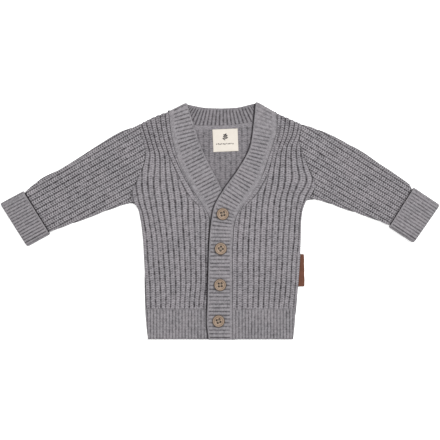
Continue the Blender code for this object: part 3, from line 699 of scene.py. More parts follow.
# %% Where the grooves of a front run
# Columns: y, then x of the grooves from the one beside the band to the one beside the side.
GROOVES = {
    "right": (
        (-107.1, -20.0, -25.7, -31.3, -37.0, -42.6, -48.3, -53.9, -59.6, -65.2, -70.9, -77.0, -83.0),
        (-95.0, -18.8, -24.8, -30.7, -36.5, -42.2, -47.8, -53.3, -59.0, -65.0, -71.0, -77.4, -83.5),
        (-80.0, -17.2, -23.2, -29.2, -35.1, -41.1, -47.1, -53.2, -59.2, -65.4, -71.6, -77.6, -84.0),
        (-50.0, -17.0, -23.0, -29.2, -35.5, -41.9, -48.3, -54.6, -61.2, -67.5, -73.8, -80.0, -86.5),
        (-20.0, -17.4, -23.5, -30.0, -36.7, -43.5, -50.3, -57.0, -63.7, -70.3, -76.2, -82.0, -88.5),
        (0.0, -17.0, -24.0, -31.0, -38.3, -45.0, -52.0, -59.2, -66.3, -73.4, -79.5, -85.5, -91.5),
        (10.0, -18.5, -24.8, -31.2, -38.3, -45.6, -53.0, -60.2, -68.0, -75.3, -81.5, -87.5, -93.5),
        (20.0, -24.0, -25.0, -32.0, -38.5, -46.0, -53.8, -61.0, -69.0, -76.6, -83.5, -90.5, -97.0),
        (30.0, -30.3, -25.0, -32.0, -39.5, -47.2, -54.6, -62.6, -70.3, -78.4, -85.2, -92.4, -99.3),
        (40.0, -36.0, -25.0, -32.0, -41.0, -49.2, -56.2, -64.0, -71.6, -79.6, -86.6, -93.8, -100.8),
        (50.0, -42.0, -25.0, -32.0, -41.0, -50.3, -57.6, -65.0, -72.0, -79.6, -86.8, -93.8, -100.6),
        (60.0, -47.0, -25.0, -32.0, -41.0, -52.5, -59.5, -65.5, -72.0, -78.4, -86.3, -93.5, -100.0),
        (72.0, -52.7, -25.0, -32.0, -41.0, -54.0, -60.2, -66.0, -72.2, -77.8, -84.8, -91.0, -98.0),
        (80.0, -56.0, -25.0, -32.0, -41.0, -54.0, -61.7, -67.0, -73.0, -78.2, -84.3, -90.5, -97.0),
        (90.0, -59.0, -25.0, -32.0, -41.0, -54.0, -64.6, -70.8, -76.4, -81.0, -86.6, -92.0, -98.0),
        (103.0, -62.5, -25.0, -32.0, -41.0, -54.0, -68.0, -73.8, -79.4, -85.0, -90.6, -96.0, -102.0),
        (131.0, -66.5, -25.0, -32.0, -41.0, -54.0, -72.6, -79.5, -86.0, -92.5, -99.0, -105.0, -111.0),
    ),
    "left": (
        (-107.1, 20.5, 26.7, 33.0, 39.4, 45.6, 52.0, 58.0, 64.3, 70.5, 76.5, 82.0, 88.0),
        (-80.0, 21.0, 27.0, 33.6, 40.4, 46.6, 53.2, 60.0, 66.6, 73.0, 79.0, 85.0, 90.5),
        (-50.0, 21.0, 27.1, 33.6, 40.5, 47.4, 54.4, 61.4, 68.3, 74.8, 81.0, 86.4, 92.0),
        (-20.0, 21.6, 28.0, 34.7, 41.6, 48.6, 55.6, 62.5, 69.5, 76.0, 82.4, 89.5, 95.0),
        (0.0, 23.5, 29.6, 36.0, 42.6, 49.6, 56.6, 63.6, 70.8, 78.0, 84.0, 90.2, 96.0),
        (10.0, 24.8, 31.0, 36.8, 43.4, 50.0, 57.0, 64.0, 71.3, 79.0, 85.0, 91.4, 97.5),
        (20.0, 29.0, 31.5, 37.6, 44.4, 51.2, 58.2, 65.0, 72.0, 79.4, 86.0, 93.0, 100.0),
        (30.0, 36.0, 31.5, 38.0, 45.2, 52.5, 60.0, 67.0, 74.0, 81.0, 88.0, 95.5, 104.0),
        (40.0, 42.3, 31.5, 38.0, 46.0, 54.5, 62.0, 69.5, 77.0, 84.0, 91.7, 101.5, 109.0),
        (50.0, 48.3, 31.5, 38.0, 46.0, 57.0, 63.6, 70.6, 78.0, 86.5, 95.3, 104.0, 111.0),
        (60.0, 53.0, 31.5, 38.0, 46.0, 58.5, 64.6, 71.6, 78.5, 86.0, 94.0, 101.0, 108.0),
        (70.0, 56.5, 31.5, 38.0, 46.0, 61.5, 66.4, 72.5, 78.6, 85.5, 92.3, 98.8, 105.0),
        (80.0, 59.8, 31.5, 38.0, 46.0, 64.4, 68.4, 73.2, 79.3, 85.3, 91.6, 97.0, 103.0),
        (90.0, 63.0, 31.5, 38.0, 46.0, 67.3, 71.6, 76.3, 81.2, 86.6, 92.4, 98.0, 104.0),
        (100.0, 66.0, 31.5, 38.0, 46.0, 70.4, 75.2, 80.2, 86.0, 91.0, 95.8, 101.0, 107.0),
        (130.0, 69.5, 31.5, 38.0, 46.0, 74.5, 79.5, 85.3, 91.0, 96.5, 101.5, 107.0, 113.0),
    ),
}
FRONT_PITCH = 6.2
BESIDE_SIDE = 7.0    # the width that stands for the ribs past the last groove
# Width of the rib that follows the neck. Columns: y, width along X.
SLANTED_RIB = {
    "right": ((10.0, 0.0), (24.0, 6.2), (60.0, 6.2), (131.0, 6.2)),
    "left": ((10.0, 0.0), (24.0, 6.2), (58.0, 6.2), (74.0, 4.4), (131.0, 4.4)),
}


def body_edge_x(side, y):
    """Where the body ends at a height: its side seam, and above the underarm its armhole."""
    return np.where(y <= SIDE[side][-1][0], curve(SIDE[side])(y), curve(ARMHOLE[side])(y))


def front_ribs(side, x, y):
    """Ribs, rows and the width of the rib, in millimetres, at a place on a front."""
    sign = inward(side)
    table = GROOVES[side]
    lines = []  # each groove as a line, in distances that grow from the side to the band
    for column in range(1, len(table[0])):
        line = sign * curve([(row[0], row[column]) for row in table])(y)
        if lines:
            least = lines[0] - curve(SLANTED_RIB[side])(y)
            line = np.minimum(line, np.minimum(least, lines[-1]))
        lines.append(line)
    place = sign * x
    seam = sign * curve(BAND_SEAM[side])(y)
    beside_band = np.maximum(seam - lines[0], 1.0)
    ribs = -np.clip((place - lines[0]) / beside_band, 0.0, 1.0)
    width = np.where(place > lines[0], beside_band, BESIDE_SIDE)
    for outer, inner in zip(lines[1:], lines[:-1]):
        gap = np.maximum(inner - outer, 0.05)
        ribs += np.clip((inner - place) / gap, 0.0, 1.0)
        width = np.where((place <= inner) & (place > outer), gap, width)
    ribs += np.maximum(lines[-1] - place, 0.0) / FRONT_PITCH
    return ribs, y / ROW["chunky"], width


test_ribs = front_ribs("right", np.array([-14.0, -90.0]), np.array([0.0, 0.0]))[0]
print("rib count beside the band and beside the side at y = 0:", test_ribs.round(2))

# %% [markdown]
# ## Building a front and its hem
#
# The grid of a front has one row for each height and one column for each place between the side
# and the band. Its first and last rows and columns follow the edge sections. The hem is the
# same shape lower down in a finer rib, so one function makes both. The stitches are pressed in
# at the end.

# %% Fronts and front hems
FRONT_SECTIONS = {"chunky": (SEAM, FOLD), "fine": (RIM, SEAM)}  # of the lower and the upper edge
COLUMN_STEP = {"chunky": 0.9, "fine": 0.62}
PINCH = (0.15, 0.37)           # how tight the rows of a front are, low down and at its shoulder
PINCH_BETWEEN = (60.0, 95.0)   # the heights between which they tighten
FRONT_FULLNESS = 0.46
FULL_RIB = 4.5                 # ribs narrower than this are flatter
WELT_REACH = 2.0               # the ribs are faint this near to where a front meets its hem


def front_ends(side, side_y, seam_y):
    """X of the side edge and of the band seam, for the rows of a front."""
    sewn = inward(side) * HALF_GAP * (1 - fold_share(side, side_y))
    start_x = body_edge_x(side, side_y) + sewn
    return start_x, curve(BAND_SEAM[side])(seam_y) - inward(side) * HALF_GAP


def front_plan(side, side_y, seam_y, across, width):
    """Points on a front at distances across from its side edge."""
    start_x, end_x = front_ends(side, side_y, seam_y)
    share = across / width[:, None]
    top = ARMHOLE[side][-1][0]
    bow = SHOULDER_BOW[side] * 4 * share * (1 - share) * ease(80.0, top, side_y)[:, None]
    x = mix(start_x[:, None], end_x[:, None], share)
    y = mix(side_y[:, None], seam_y[:, None], share) + bow
    return np.dstack([x, y])


def front_width(side, side_y, seam_y):
    """The width of a front from row to row."""
    start_x, end_x = front_ends(side, side_y, seam_y)
    return np.abs(end_x - start_x)


def lifted(side, y, from_band):
    """How far a front is raised beside the top band."""
    if side == "right":
        return 0.0 * y
    return band_lift(y) * (1 - ease(0.0, LIFT_REACH, from_band))


def rimmed(height, share, wall_height):
    """A face's height where it rolls over at a plain edge."""
    return np.maximum(height - wall_height * (1 - share), 0.0)


def hem_ribs(x, y):
    """Ribs, rows and the width of the rib at a place on a hem."""
    return x / HEM_PITCH, y / ROW["fine"], FULL_RIB + 0 * x


def front_height(side, plan, side_y, from_band, gauge):
    """The height of the face of a front, rolled or folded over at its four edges."""
    x, y = plan[..., 0], plan[..., 1]
    rows, columns = x.shape
    lower, upper = FRONT_SECTIONS[gauge]
    wall_height = THICKNESS[gauge]
    height = LAYER + wall_height + lifted(side, y, from_band) + creases(x, y)
    if upper is FOLD:
        height = height * section_shares(rows, end=FOLD)[:, None]
        row_rim = section_shares(rows, start=lower)
    else:
        row_rim = section_shares(rows, lower, upper)
    height = rimmed(height, row_rim[:, None], wall_height)
    column_fold = section_shares(columns, start=FOLD)
    floor = tab_lift(side, side_y)[:, None] * (column_fold < 1)
    as_fold = floor + (height - floor) * column_fold
    as_seam = rimmed(height, section_shares(columns, start=SEAM), wall_height)
    height = mix(as_seam, as_fold, fold_share(side, side_y)[:, None])
    return rimmed(height, section_shares(columns, end=SEAM), wall_height)


def front_knit(side, plan, gauge):
    """The knit attribute at every point of a front: ribs, rows and height."""
    x, y = plan[..., 0], plan[..., 1]
    ribs, rows, rib_width = front_ribs(side, x, y) if gauge == "chunky" else hem_ribs(x, y)
    tight = mix(*PINCH, ease(*PINCH_BETWEEN, y) * (gauge == "chunky"))
    height = rib_height(ribs, rows, pinch=tight, fullness=FRONT_FULLNESS)
    height = mix(0.8, height, np.clip(rib_width / FULL_RIB, 0.25, 1.0))
    from_welt = ease(0.0, WELT_REACH, np.abs(y - WELT_Y))
    height = mix(NO_RIBS, height, mix(0.25, 1.0, from_welt))
    # Beside the free edge of the top band the knit sinks, and shade is painted into its colour.
    if side == "right":
        height = height * (1 - top_band_dip_and_shade(x, y))
    return np.dstack([ribs, rows, height])


def make_front(name, side, low, high, gauge, material):
    """A front panel in chunky rib, or its hem in fine rib, between two heights at the side."""
    lower, upper = FRONT_SECTIONS[gauge]
    facing = curve(FRONT_PAIRS[side])
    steps = round((high - low) / ROW[gauge] * FINE_ROWS)
    middle = np.linspace(low + lower[-1, 0], high - upper[-1, 0], steps)
    side_y = with_ends(low + lower[:, 0], middle, high - upper[::-1, 0])
    seam_y = with_ends(facing(low) + lower[:, 0], facing(middle),
                       facing(high) - upper[::-1, 0])
    width = front_width(side, side_y, seam_y)
    folded = fold_share(side, side_y)[:, None]
    left = mix(SEAM[None, :, 0], FOLD[None, :, 0], folded)
    columns = round(width[:steps // 2].mean() / COLUMN_STEP[gauge])
    even = np.linspace(0.0, 1.0, columns)[None, 1:-1]
    right = width[:, None] - SEAM[::-1, 0][None, :]
    across = np.concatenate([left, mix(left[:, -1:], right[:, :1], even), right], axis=1)
    plan = front_plan(side, side_y, seam_y, across, width)
    height = front_height(side, plan, side_y, width[:, None] - across, gauge)
    knit = front_knit(side, plan, gauge)
    outer = press(np.dstack([plan, height]), knit[..., 2], RIB_DEPTH[gauge])

    row_picks, column_picks = (some(n, step) for n, step in zip(across.shape, COARSE))
    tuck_top = FOLD_TUCK if upper is FOLD else RIM_TUCK
    inner_side_y = np.clip(side_y[row_picks], low + RIM_TUCK, high - tuck_top)
    inner_seam_y = np.clip(seam_y[row_picks], facing(low) + RIM_TUCK, facing(high) - tuck_top)
    inner_width = front_width(side, inner_side_y, inner_seam_y)
    tuck = mix(RIM_TUCK, FOLD_TUCK, folded[row_picks])
    inner_across = np.clip(across[np.ix_(row_picks, column_picks)], tuck,
                           inner_width[:, None] - RIM_TUCK)
    inner_plan = front_plan(side, inner_side_y, inner_seam_y, inner_across, inner_width)
    inner_height = LAYER + lifted(side, inner_plan[..., 1], inner_width[:, None] - inner_across)
    inner = np.dstack([inner_plan, inner_height])
    return shell(name, outer, inner, row_picks, column_picks, knit, material), plan


def area_of(plan):
    """The area of a flat grid of points, in square metres."""
    a, b = plan[1:, 1:] - plan[:-1, :-1], plan[1:, :-1] - plan[:-1, 1:]
    return np.abs(a[..., 0] * b[..., 1] - a[..., 1] * b[..., 0]).sum() / 2 * MM * MM


def cut(piece, width, length, area=None, held="laid", rests_on=("back",)):
    """The flat size of a sheet of cloth, worked out and not kept. Its area is not used."""
    full = width * length * MM * MM


for side in ("right", "left"):
    shoulder = ARMHOLE[side][-1][0]
    front, plan = make_front("front_panel_" + side, side, WELT_Y + HALF_GAP, shoulder,
                             "chunky", chunky_yarn)
    declare(front, "rib_knit", "front_" + side)
    cut(front, 99.0, 239.0, area_of(plan))
    hem, plan = make_front("front_hem_" + side, side, HEM_Y, WELT_Y - HALF_GAP,
                           "fine", fine_yarn)
    declare(hem, "trim_knit", "hem_" + side)
    cut(hem, 80.0, 37.0, area_of(plan), rests_on=("back_hem",))

# %% [markdown]
# ## The button bands
#
# Each band is a separate strip of fine rib that is linked to the front: it runs up beside the
# buttons, turns into the V of the neck and folds over at the shoulder. Its ribs lie across it.
# Next to the seam it has a smooth strip, and its free edge is a slim rounded selvedge. The rows
# of the grid are spread evenly along the band, so the ribs keep their width round the bend. The
# wearer's left band lies on top, so below the V it is raised by one layer.

# %% Button bands
BAND_PITCH = 4.45
BAND_STEP = 0.62           # between the rows of its grid
BAND_COLUMNS = 26
SMOOTH_STRIP = (2.6, 5.2)  # beside the buttons and beside the V
STRIP_BLEND = 0.9
SELVEDGE = 1.9
CORNER_REACH = 5.0
CORNER_DROP = 2.6
CALM_BETWEEN = (88.0, 118.0)   # the ribs of the left band fade to half between these heights


def band_ends(side, seam_y, edge_y):
    """Points on the seam and on the free edge of a band."""
    seam_x = curve(BAND_SEAM[side])(seam_y) + inward(side) * HALF_GAP
    edge_x = curve(BAND_FREE_EDGE[side])(edge_y)
    return np.column_stack([seam_x, seam_y]), np.column_stack([edge_x, edge_y])


def band_rows(side):
    """Heights at the seam and at the free edge for evenly spaced rows along a band."""
    pairs = np.array(BAND_PAIRS[side])
    order = np.linspace(0, len(pairs) - 1, 1200)
    number = np.arange(len(pairs))
    seam_y, edge_y = (curve(zip(number, column))(order) for column in pairs.T)
    use = (seam_y > pairs[0, 0] + RIM[-1, 0]) & (seam_y < pairs[-1, 0] - FOLD[-1, 0])
    seam_y, edge_y = seam_y[use], edge_y[use]
    walked = walked_along(mix(*band_ends(side, seam_y, edge_y), 0.5))
    even = np.linspace(0.0, walked[-1], round(walked[-1] / BAND_STEP))
    folding = FOLD[::-1, 0]
    rows = [np.concatenate([first + RIM[:-1, 0], np.interp(even, walked, y), last - folding[1:]])
            for y, first, last in zip((seam_y, edge_y), pairs[0], pairs[-1])]
    along = np.concatenate([RIM[:-1, 0] - RIM[-1, 0], even,
                            walked[-1] + folding[0] - folding[1:]])
    return *rows, along


def corner_drop(from_edge, y):
    """How far the corner of a band is rounded down where it folds over the shoulder."""
    return CORNER_DROP * (1 - rounded(from_edge, CORNER_REACH)) * ease(112.0, 142.0, y)


def band_knit(side, plan, across, width, seam_y, edge_y, along):
    """The knit attribute at every point of a band: ribs, rows and height."""
    ribs = (along / BAND_PITCH)[:, None] + 0 * across
    rows = across / ROW["fine"]
    strip = mix(*SMOOTH_STRIP, ease(0.0, 25.0, seam_y))[:, None]
    ribbed = ease(strip, strip + STRIP_BLEND, across)
    ribbed = ribbed * ease(SELVEDGE - 0.4, SELVEDGE + 0.5, width - across)
    smooth = plain_height(across / 2.6, along[:, None] / ROW["fine"])
    height = mix(smooth, rib_height(ribs, rows, pinch=0.16, crease=0.06), ribbed)
    if side == "left":
        calm = 0.5 * ease(*CALM_BETWEEN, edge_y)[:, None] * ribbed
        height = mix(height, NO_RIBS, calm)
    else:
        # Beside the free edge of the top band the knit sinks, and shade is painted into its colour.
        height = height * (1 - top_band_dip_and_shade(plan[..., 0], plan[..., 1]))
    return np.dstack([ribs, rows, height])


def make_band(side):
    """One button band with the V of the neck."""
    seam_y, edge_y, along = band_rows(side)
    seam, edge = band_ends(side, seam_y, edge_y)
    width = np.linalg.norm(edge - seam, axis=1)[:, None]
    even = np.linspace(0.0, 1.0, BAND_COLUMNS)[None, 1:-1]
    first, last = SEAM[-1, 0] + 0 * width, width - RIM[-1, 0]
    across = np.concatenate([SEAM[:, 0] + 0 * width, mix(first, last, even),
                             width - RIM[::-1, 0]], axis=1)
    plan = mix(seam[:, None, :], edge[:, None, :], (across / width)[..., None])
    plan[..., 1] -= corner_drop(width - across, edge_y[:, None])
    raised = 1.0 if side == "left" else 0.0
    height = LAYER + TRIM + raised * band_lift(plan[..., 1]) + creases(plan[..., 0], plan[..., 1])
    rows, columns = across.shape
    height = rimmed(height, section_shares(rows, start=RIM)[:, None], TRIM)
    height = rimmed(height, section_shares(columns, SEAM, RIM), TRIM)
    height = height * section_shares(rows, end=FOLD)[:, None]
    knit = band_knit(side, plan, across, width, seam_y, edge_y, along)
    outer = press(np.dstack([plan, height]), knit[..., 2], RIB_DEPTH["fine"])

    row_picks, column_picks = (some(n, step) for n, step in zip(across.shape, COARSE))
    inner_across = np.clip(across[np.ix_(row_picks, column_picks)], RIM_TUCK,
                           width[row_picks] - RIM_TUCK)
    inner_seam_y, inner_edge_y = (np.clip(y[row_picks], y[0] + RIM_TUCK, y[-1] - FOLD_TUCK)
                                  for y in (seam_y, edge_y))
    seam, edge = band_ends(side, inner_seam_y, inner_edge_y)
    share = (inner_across / width[row_picks])[..., None]
    inner_plan = mix(seam[:, None, :], edge[:, None, :], share)
    inner_plan[..., 1] -= corner_drop(width[row_picks] - inner_across, inner_edge_y[:, None])
    inner = np.dstack([inner_plan, LAYER + raised * band_lift(inner_plan[..., 1])])
    piece = shell("button_band_" + side, outer, inner, row_picks, column_picks, knit, fine_yarn)
    return piece, plan


for side, below in (("right", ("back",)), ("left", ("back", "button_band_right"))):
    band, plan = make_band(side)
    declare(band, "trim_knit", "band_" + side)
    cut(band, 30.0, 301.0, area_of(plan), rests_on=below)

# %% [markdown]
# ## The back and its hem
#
# The back shows twice: its inside through the V of the neck, and its outside from underneath.
# So both of its faces carry ribs, fainter on the inside. Under the neck band lies the linking
# seam, a strip of small smooth stitches. The back tucks inside the folded edges of the fronts.

# %% Back panel and back hem
BACK_INSET = 3.2
BACK_WIDTH = 190.0           # sets how many columns its grid has
# Columns: rib pitch, grid step across and along, depth of the ribs inside and outside.
BACK_KNIT = {"chunky": (6.6, 1.1, 1.1, (1.1, 1.0)), "fine": (HEM_PITCH, 0.62, 1.0, (0.7, 0.7))}
LINKING = (4.2, 5.2)         # the strip of smooth stitches ends between these, below the neck
SOFT_EDGE = (0.35, 0.1)      # how far a face sinks at its outermost points and at the next ones
FAR_BELOW = 99.0             # stands for a place that is nowhere near the neck
# Columns: y at the wearer's right side, y at the left side of the same row.
BACK_PAIRS = ((-143.7, -143.7), (4.5, 4.5), (12.7, 16.9), (19.7, 23.9), (30.3, 33.3),
              (43.5, 43.5), (115.1, 115.1))


def back_ends(side, y):
    """Points at the end of each row of the back, inside the fold or at the armhole."""
    inset = mix(HALF_GAP, BACK_INSET, y <= SIDE[side][-1][0])
    return np.column_stack([body_edge_x(side, y) + inward(side) * inset, y])


def from_ends(count):
    """How many steps each of a row of points is from the nearer end."""
    return np.minimum(np.arange(count), np.arange(count)[::-1])


def two_faced(name, plan, thickness, knit, under_height, depths, material):
    """A panel with stitches on both faces, from the plan of its points."""
    rows, columns = plan.shape[:2]
    rim = np.minimum(from_ends(rows)[:, None], from_ends(columns))
    soft = SOFT_EDGE[0] * (rim == 0) + SOFT_EDGE[1] * (rim == 1)
    upper = press(np.dstack([plan, thickness - soft]), knit[..., 2], depths[0])
    under = press(np.dstack([plan, soft]), under_height, depths[1], facing=-1.0)
    return shell(name, upper, under, np.arange(rows), np.arange(columns), knit, material)


def shaped_to_neck(plan, x, right, left):
    """Moves the rows of the back so that its top meets the neck seam and both shoulders. Gives
    the distance of each point below the neck."""
    neck = curve(NECK_SEAM)(x) - HALF_GAP
    start, end = NECK_SEAM[0], NECK_SEAM[-1]
    shoulder = np.interp(x, [x[0], start[0], end[0], x[-1]],
                         [right[-1, 1], start[1], end[1], left[-1, 1]])
    top = np.where((x >= start[0]) & (x <= end[0]), neck, shoulder)
    plan[..., 1] += (top - plan[-1, :, 1]) * ease(70.0, right[-1, 1], right[:, 1])[:, None]
    inside = (x > start[0] - 2) & (x < end[0] + 2)
    return np.where(inside, neck - plan[..., 1], FAR_BELOW)


def make_back(name, low, high, gauge, material):
    """The back panel in chunky rib, or its hem in fine rib."""
    pitch, step_across, step_along, depths = BACK_KNIT[gauge]
    right_y = np.linspace(low, high, round((high - low) / step_along))
    left_y = np.interp(right_y, *np.array(BACK_PAIRS).T)
    right, left = back_ends("right", right_y), back_ends("left", left_y)
    x = np.linspace(right[-1, 0], left[-1, 0], round(BACK_WIDTH / step_across))
    share = (x - x[0]) / (x[-1] - x[0])
    plan = mix(right[:, None, :], left[:, None, :], share[None, :, None])
    from_neck = shaped_to_neck(plan, x, right, left) if gauge == "chunky" else FAR_BELOW
    ribs, rows = plan[..., 0] / pitch, plan[..., 1] / ROW[gauge]
    ribbed = rib_height(ribs, rows)
    strip = plain_height(plan[..., 1] / 2.4, plan[..., 0] / 1.9) + 0.08
    inside_face = mix(strip, mix(0.78, ribbed, 0.5), ease(*LINKING, from_neck))
    # Beside the free edge of the top band the knit sinks, and shade is painted into its colour.
    inside_face = inside_face * (1 - top_band_dip_and_shade(plan[..., 0], plan[..., 1]))
    knit = np.dstack([ribs, rows, inside_face])
    return two_faced(name, plan, THICKNESS[gauge], knit, ribbed, depths, material), plan


back, plan = make_back("back_panel", WELT_Y + HALF_GAP, ARMHOLE["right"][-1][0] - BACK_INSET,
                       "chunky", chunky_yarn)
back.data.materials.append(inside_yarn)
inside_faces = (plan.shape[0] - 1) * (plan.shape[1] - 1)
is_inside = np.arange(len(back.data.polygons)) < inside_faces
back.data.polygons.foreach_set("material_index", is_inside.astype(np.int32))
declare(back, "rib_knit", "back")
cut(back, 214.0, 238.0, area_of(plan))
back_hem, plan = make_back("back_hem_rib", HEM_Y, WELT_Y - HALF_GAP, "fine", fine_yarn)
declare(back_hem, "trim_knit", "back_hem")
cut(back_hem, 184.0, 37.0, area_of(plan))

# %% [markdown]
# ## The neck band
#
# Round the back of the neck the band is its own short strip. Its ribs stand across it and fan
# out a little, because its upper edge is shorter than its seam. In the garment it is the inside
# of the band that shows.

# %% Neck band
NECK_GRID = (30, 210)    # rows, columns
NECK_PITCH = 4.9
NECK_ROWS = 11           # rows of stitches from its seam to its upper edge


def make_neck_band():
    """The band round the back of the neck."""
    share = np.linspace(0.0, 1.0, NECK_GRID[0])[:, None]
    seam_x = np.linspace(NECK_SEAM[0][0], NECK_SEAM[-1][0], NECK_GRID[1])
    edge_x = curve(NECK_PAIRS)(seam_x)
    start = np.column_stack([seam_x, curve(NECK_SEAM)(seam_x) + HALF_GAP])
    end = np.column_stack([edge_x, curve(NECK_EDGE)(edge_x)])
    plan = mix(start[None, :, :], end[None, :, :], share[..., None])
    ribs = walked_along(start)[None, :] / NECK_PITCH + 0 * share
    rows = share * NECK_ROWS + 0 * ribs
    ribbed = rib_height(ribs, rows, pinch=0.16, crease=0.0, fullness=0.6)
    selvedge = plain_height(share * 8 + 0 * ribs, ribs * 2.4)
    upper = mix(selvedge, ribbed, ease(0.98, 0.80, share))
    # Beside the free edge of the top band the knit sinks, and shade is painted into its colour.
    upper = upper * (1 - top_band_dip_and_shade(plan[..., 0], plan[..., 1]))
    knit = np.dstack([ribs, rows, upper])
    return two_faced("neck_band", plan, TRIM, knit, ribbed, (0.85, 0.8), inside_yarn), plan


neck_band, plan = make_neck_band()
declare(neck_band, "trim_knit", "band_neck")
cut(neck_band, 131.0, 26.0, area_of(plan), rests_on=("back_panel",))

# %% [markdown]
# ## The sleeves
#
# A sleeve is a tube that lies flat: an upper and a lower layer with a round fold along each
# side. The grid goes round it like knitting in the round, from the bottom fold over the top and
# back underneath. Its ribs run beside the top fold, and one after another they end at the
# bottom fold, because stitches are left out there as the sleeve narrows. The yarn is pulled up
# tightly here, so the gaps between its stitches are pressed in and painted with shade, and show
# as rows of dark dots. In front of the mouth of the cuff a shadow is painted too.

# %% Sleeves
# The line that the ribs run beside. Columns: x, y of the armhole end, x, y of the cuff end.
RIB_LINE = {"right": (-98.0, 116.5, -232.0, 39.5), "left": (100.0, 120.5, 229.0, 38.0)}
RIB_PITCH = {"right": (6.2, 5.9), "left": (5.95, 5.35)}   # columns: at the armhole, at the cuff
SLEEVE_ROW = 2.85
SLEEVE_DEPTH = 1.35
SLEEVE_LENGTH = 145.0
SLEEVE_ROWS = 210
SLEEVE_COLUMNS = 104
SLEEVE_COARSE = (9, 5)
# Stations along a sleeve: 0 at the armhole, 1 where its own folds end, 2 at its end in the cuff.
INTO_CUFF = 1.3      # here the sleeve has gone in under the cuff
CUFF_MOUTH = 1.26    # and from here on the painted shadow and dip at the mouth of the cuff are deepest
CUFF_MOUTH_SHADE = (0.8, 1.3)         # how far the knit sinks there, with shadow painted into its colour, and how far it spreads
SLEEVE_ROUND = 3.4
SLEEVE_BREADTH = 90.0          # about how wide a sleeve lies
SWELL_REACH = 8.0              # creases fade out this near to its folds
ARMHOLE_SQUASH = 0.72          # share of its height where it is sewn into the armhole
NEAR_FOLD = np.array((0.0, 0.15, 0.5, 1.1, 1.9, 2.7, 3.4))


def armhole_line(side):
    """The armhole as a line of points from the shoulder to the underarm."""
    y = np.linspace(ARMHOLE[side][-1][0], ARMHOLE[side][0][0], 160)
    line = np.column_stack([curve(ARMHOLE[side])(y) - inward(side) * HALF_GAP, y])
    walked = walked_along(line)
    return line, walked / walked[-1]


def sleeve_plan(side, along, across):
    """Plan points of a sleeve, along from armhole to cuff and across from top to bottom."""
    line, shares = armhole_line(side)
    folds = []
    for table in (SLEEVE_TOP[side], SLEEVE_BOTTOM[side]):
        x = mix(table[0][0] - inward(side) * HALF_GAP, table[-1][0], along)
        folds.append(np.array([x, curve(table)(x)]))
    straight = mix(folds[0], folds[1], across[:, None])
    seam = np.column_stack([np.interp(across, shares, line[:, i]) for i in (0, 1)])
    bend = seam - mix(line[0], line[-1], across[:, None])
    return straight + bend * (1 - ease(0.0, 0.5, along))


def cuff_length(side):
    """The length of a cuff from its mouth to the wrist, along its middle."""
    mouth_top, mouth_bottom, wrist_top, wrist_bottom = np.array(CUFF[side])
    return np.linalg.norm(mix(wrist_top, wrist_bottom, 0.5) - mix(mouth_top, mouth_bottom, 0.5))


def cuff_line(side, inside):
    """The top and the bottom of a line across the cuff, at a distance from its mouth."""
    mouth_top, mouth_bottom, wrist_top, wrist_bottom = np.array(CUFF[side])
    share = inside / cuff_length(side)
    return mix(mouth_top, wrist_top, share), mix(mouth_bottom, wrist_bottom, share)


def places_across(width):
    """Places round a sleeve: shares of its width, and 1 on its upper and -1 on its under layer."""
    near = NEAR_FOLD / width
    upper = np.linspace(near[-1], 1 - near[-1], SLEEVE_COLUMNS)[1:-1]
    under = np.linspace(near[-1], 1 - near[-1], SLEEVE_COLUMNS // 2)[1:-1]
    upper_half = np.concatenate([near, upper, 1 - near[::-1]])
    under_half = np.concatenate([near, under, 1 - near[::-1]])[1:-1]
    over = np.concatenate([np.ones(len(upper_half)), -np.ones(len(under_half))])
    return np.concatenate([upper_half[::-1], under_half]), over


def sleeve_ring(side, along, inside_wall=0.0):
    """One ring of a sleeve, on its outside or inside its wall. Gives its points, and for each of
    them the share across the sleeve and 1 on the upper or -1 on the under layer."""
    if 1.0 < along < INTO_CUFF:
        last, across, over = sleeve_ring(side, 1.0, inside_wall)
        hidden = sleeve_ring(side, INTO_CUFF, inside_wall)[0]
        return mix(last, hidden, (along - 1.0) / (INTO_CUFF - 1.0)), across, over
    in_cuff = along > 1
    if in_cuff:
        top, bottom = cuff_line(side, (along - 1) * (CUFF_OVERLAP - GAP))
        share = (TRIM + GAP) / np.linalg.norm(bottom - top)
        top, bottom = mix(top, bottom, share), mix(top, bottom, 1 - share)
    else:
        top, bottom = sleeve_plan(side, along, np.array([0.0, 1.0]))
    width = np.linalg.norm(bottom - top)
    across, over = places_across(width)
    rise = 1.0 if in_cuff else ease(CUFF_RISE, 1.0, along)
    height = mix(LAYER + WALL, 2 * TRIM + 2 * GAP, rise)
    distance = np.minimum(across, 1 - across) * width
    if inside_wall:
        share = (across * (width - 2 * inside_wall) + inside_wall) / width
        bulge = (height / 2 - mix(WALL, TRIM, rise)) * rounded(distance, 1.0)
    else:
        share = across
        bulge = height / 2 * rounded(distance, SLEEVE_ROUND)
    plan = mix(top, bottom, share[:, None]) if in_cuff else sleeve_plan(side, along, share)
    z = (TRIM + GAP) * rise + height / 2 + over * bulge
    return np.column_stack([plan, z]), across, over


def along_and_off(line, points):
    """How far along a straight line the points lie in the plan, and how far below it."""
    start, end = np.array(line[:2]), np.array(line[2:])
    way = (end - start) / np.linalg.norm(end - start)
    off = points[..., :2] - start
    return off @ way, (off[..., 0] * way[1] - off[..., 1] * way[0]) * np.sign(way[0])


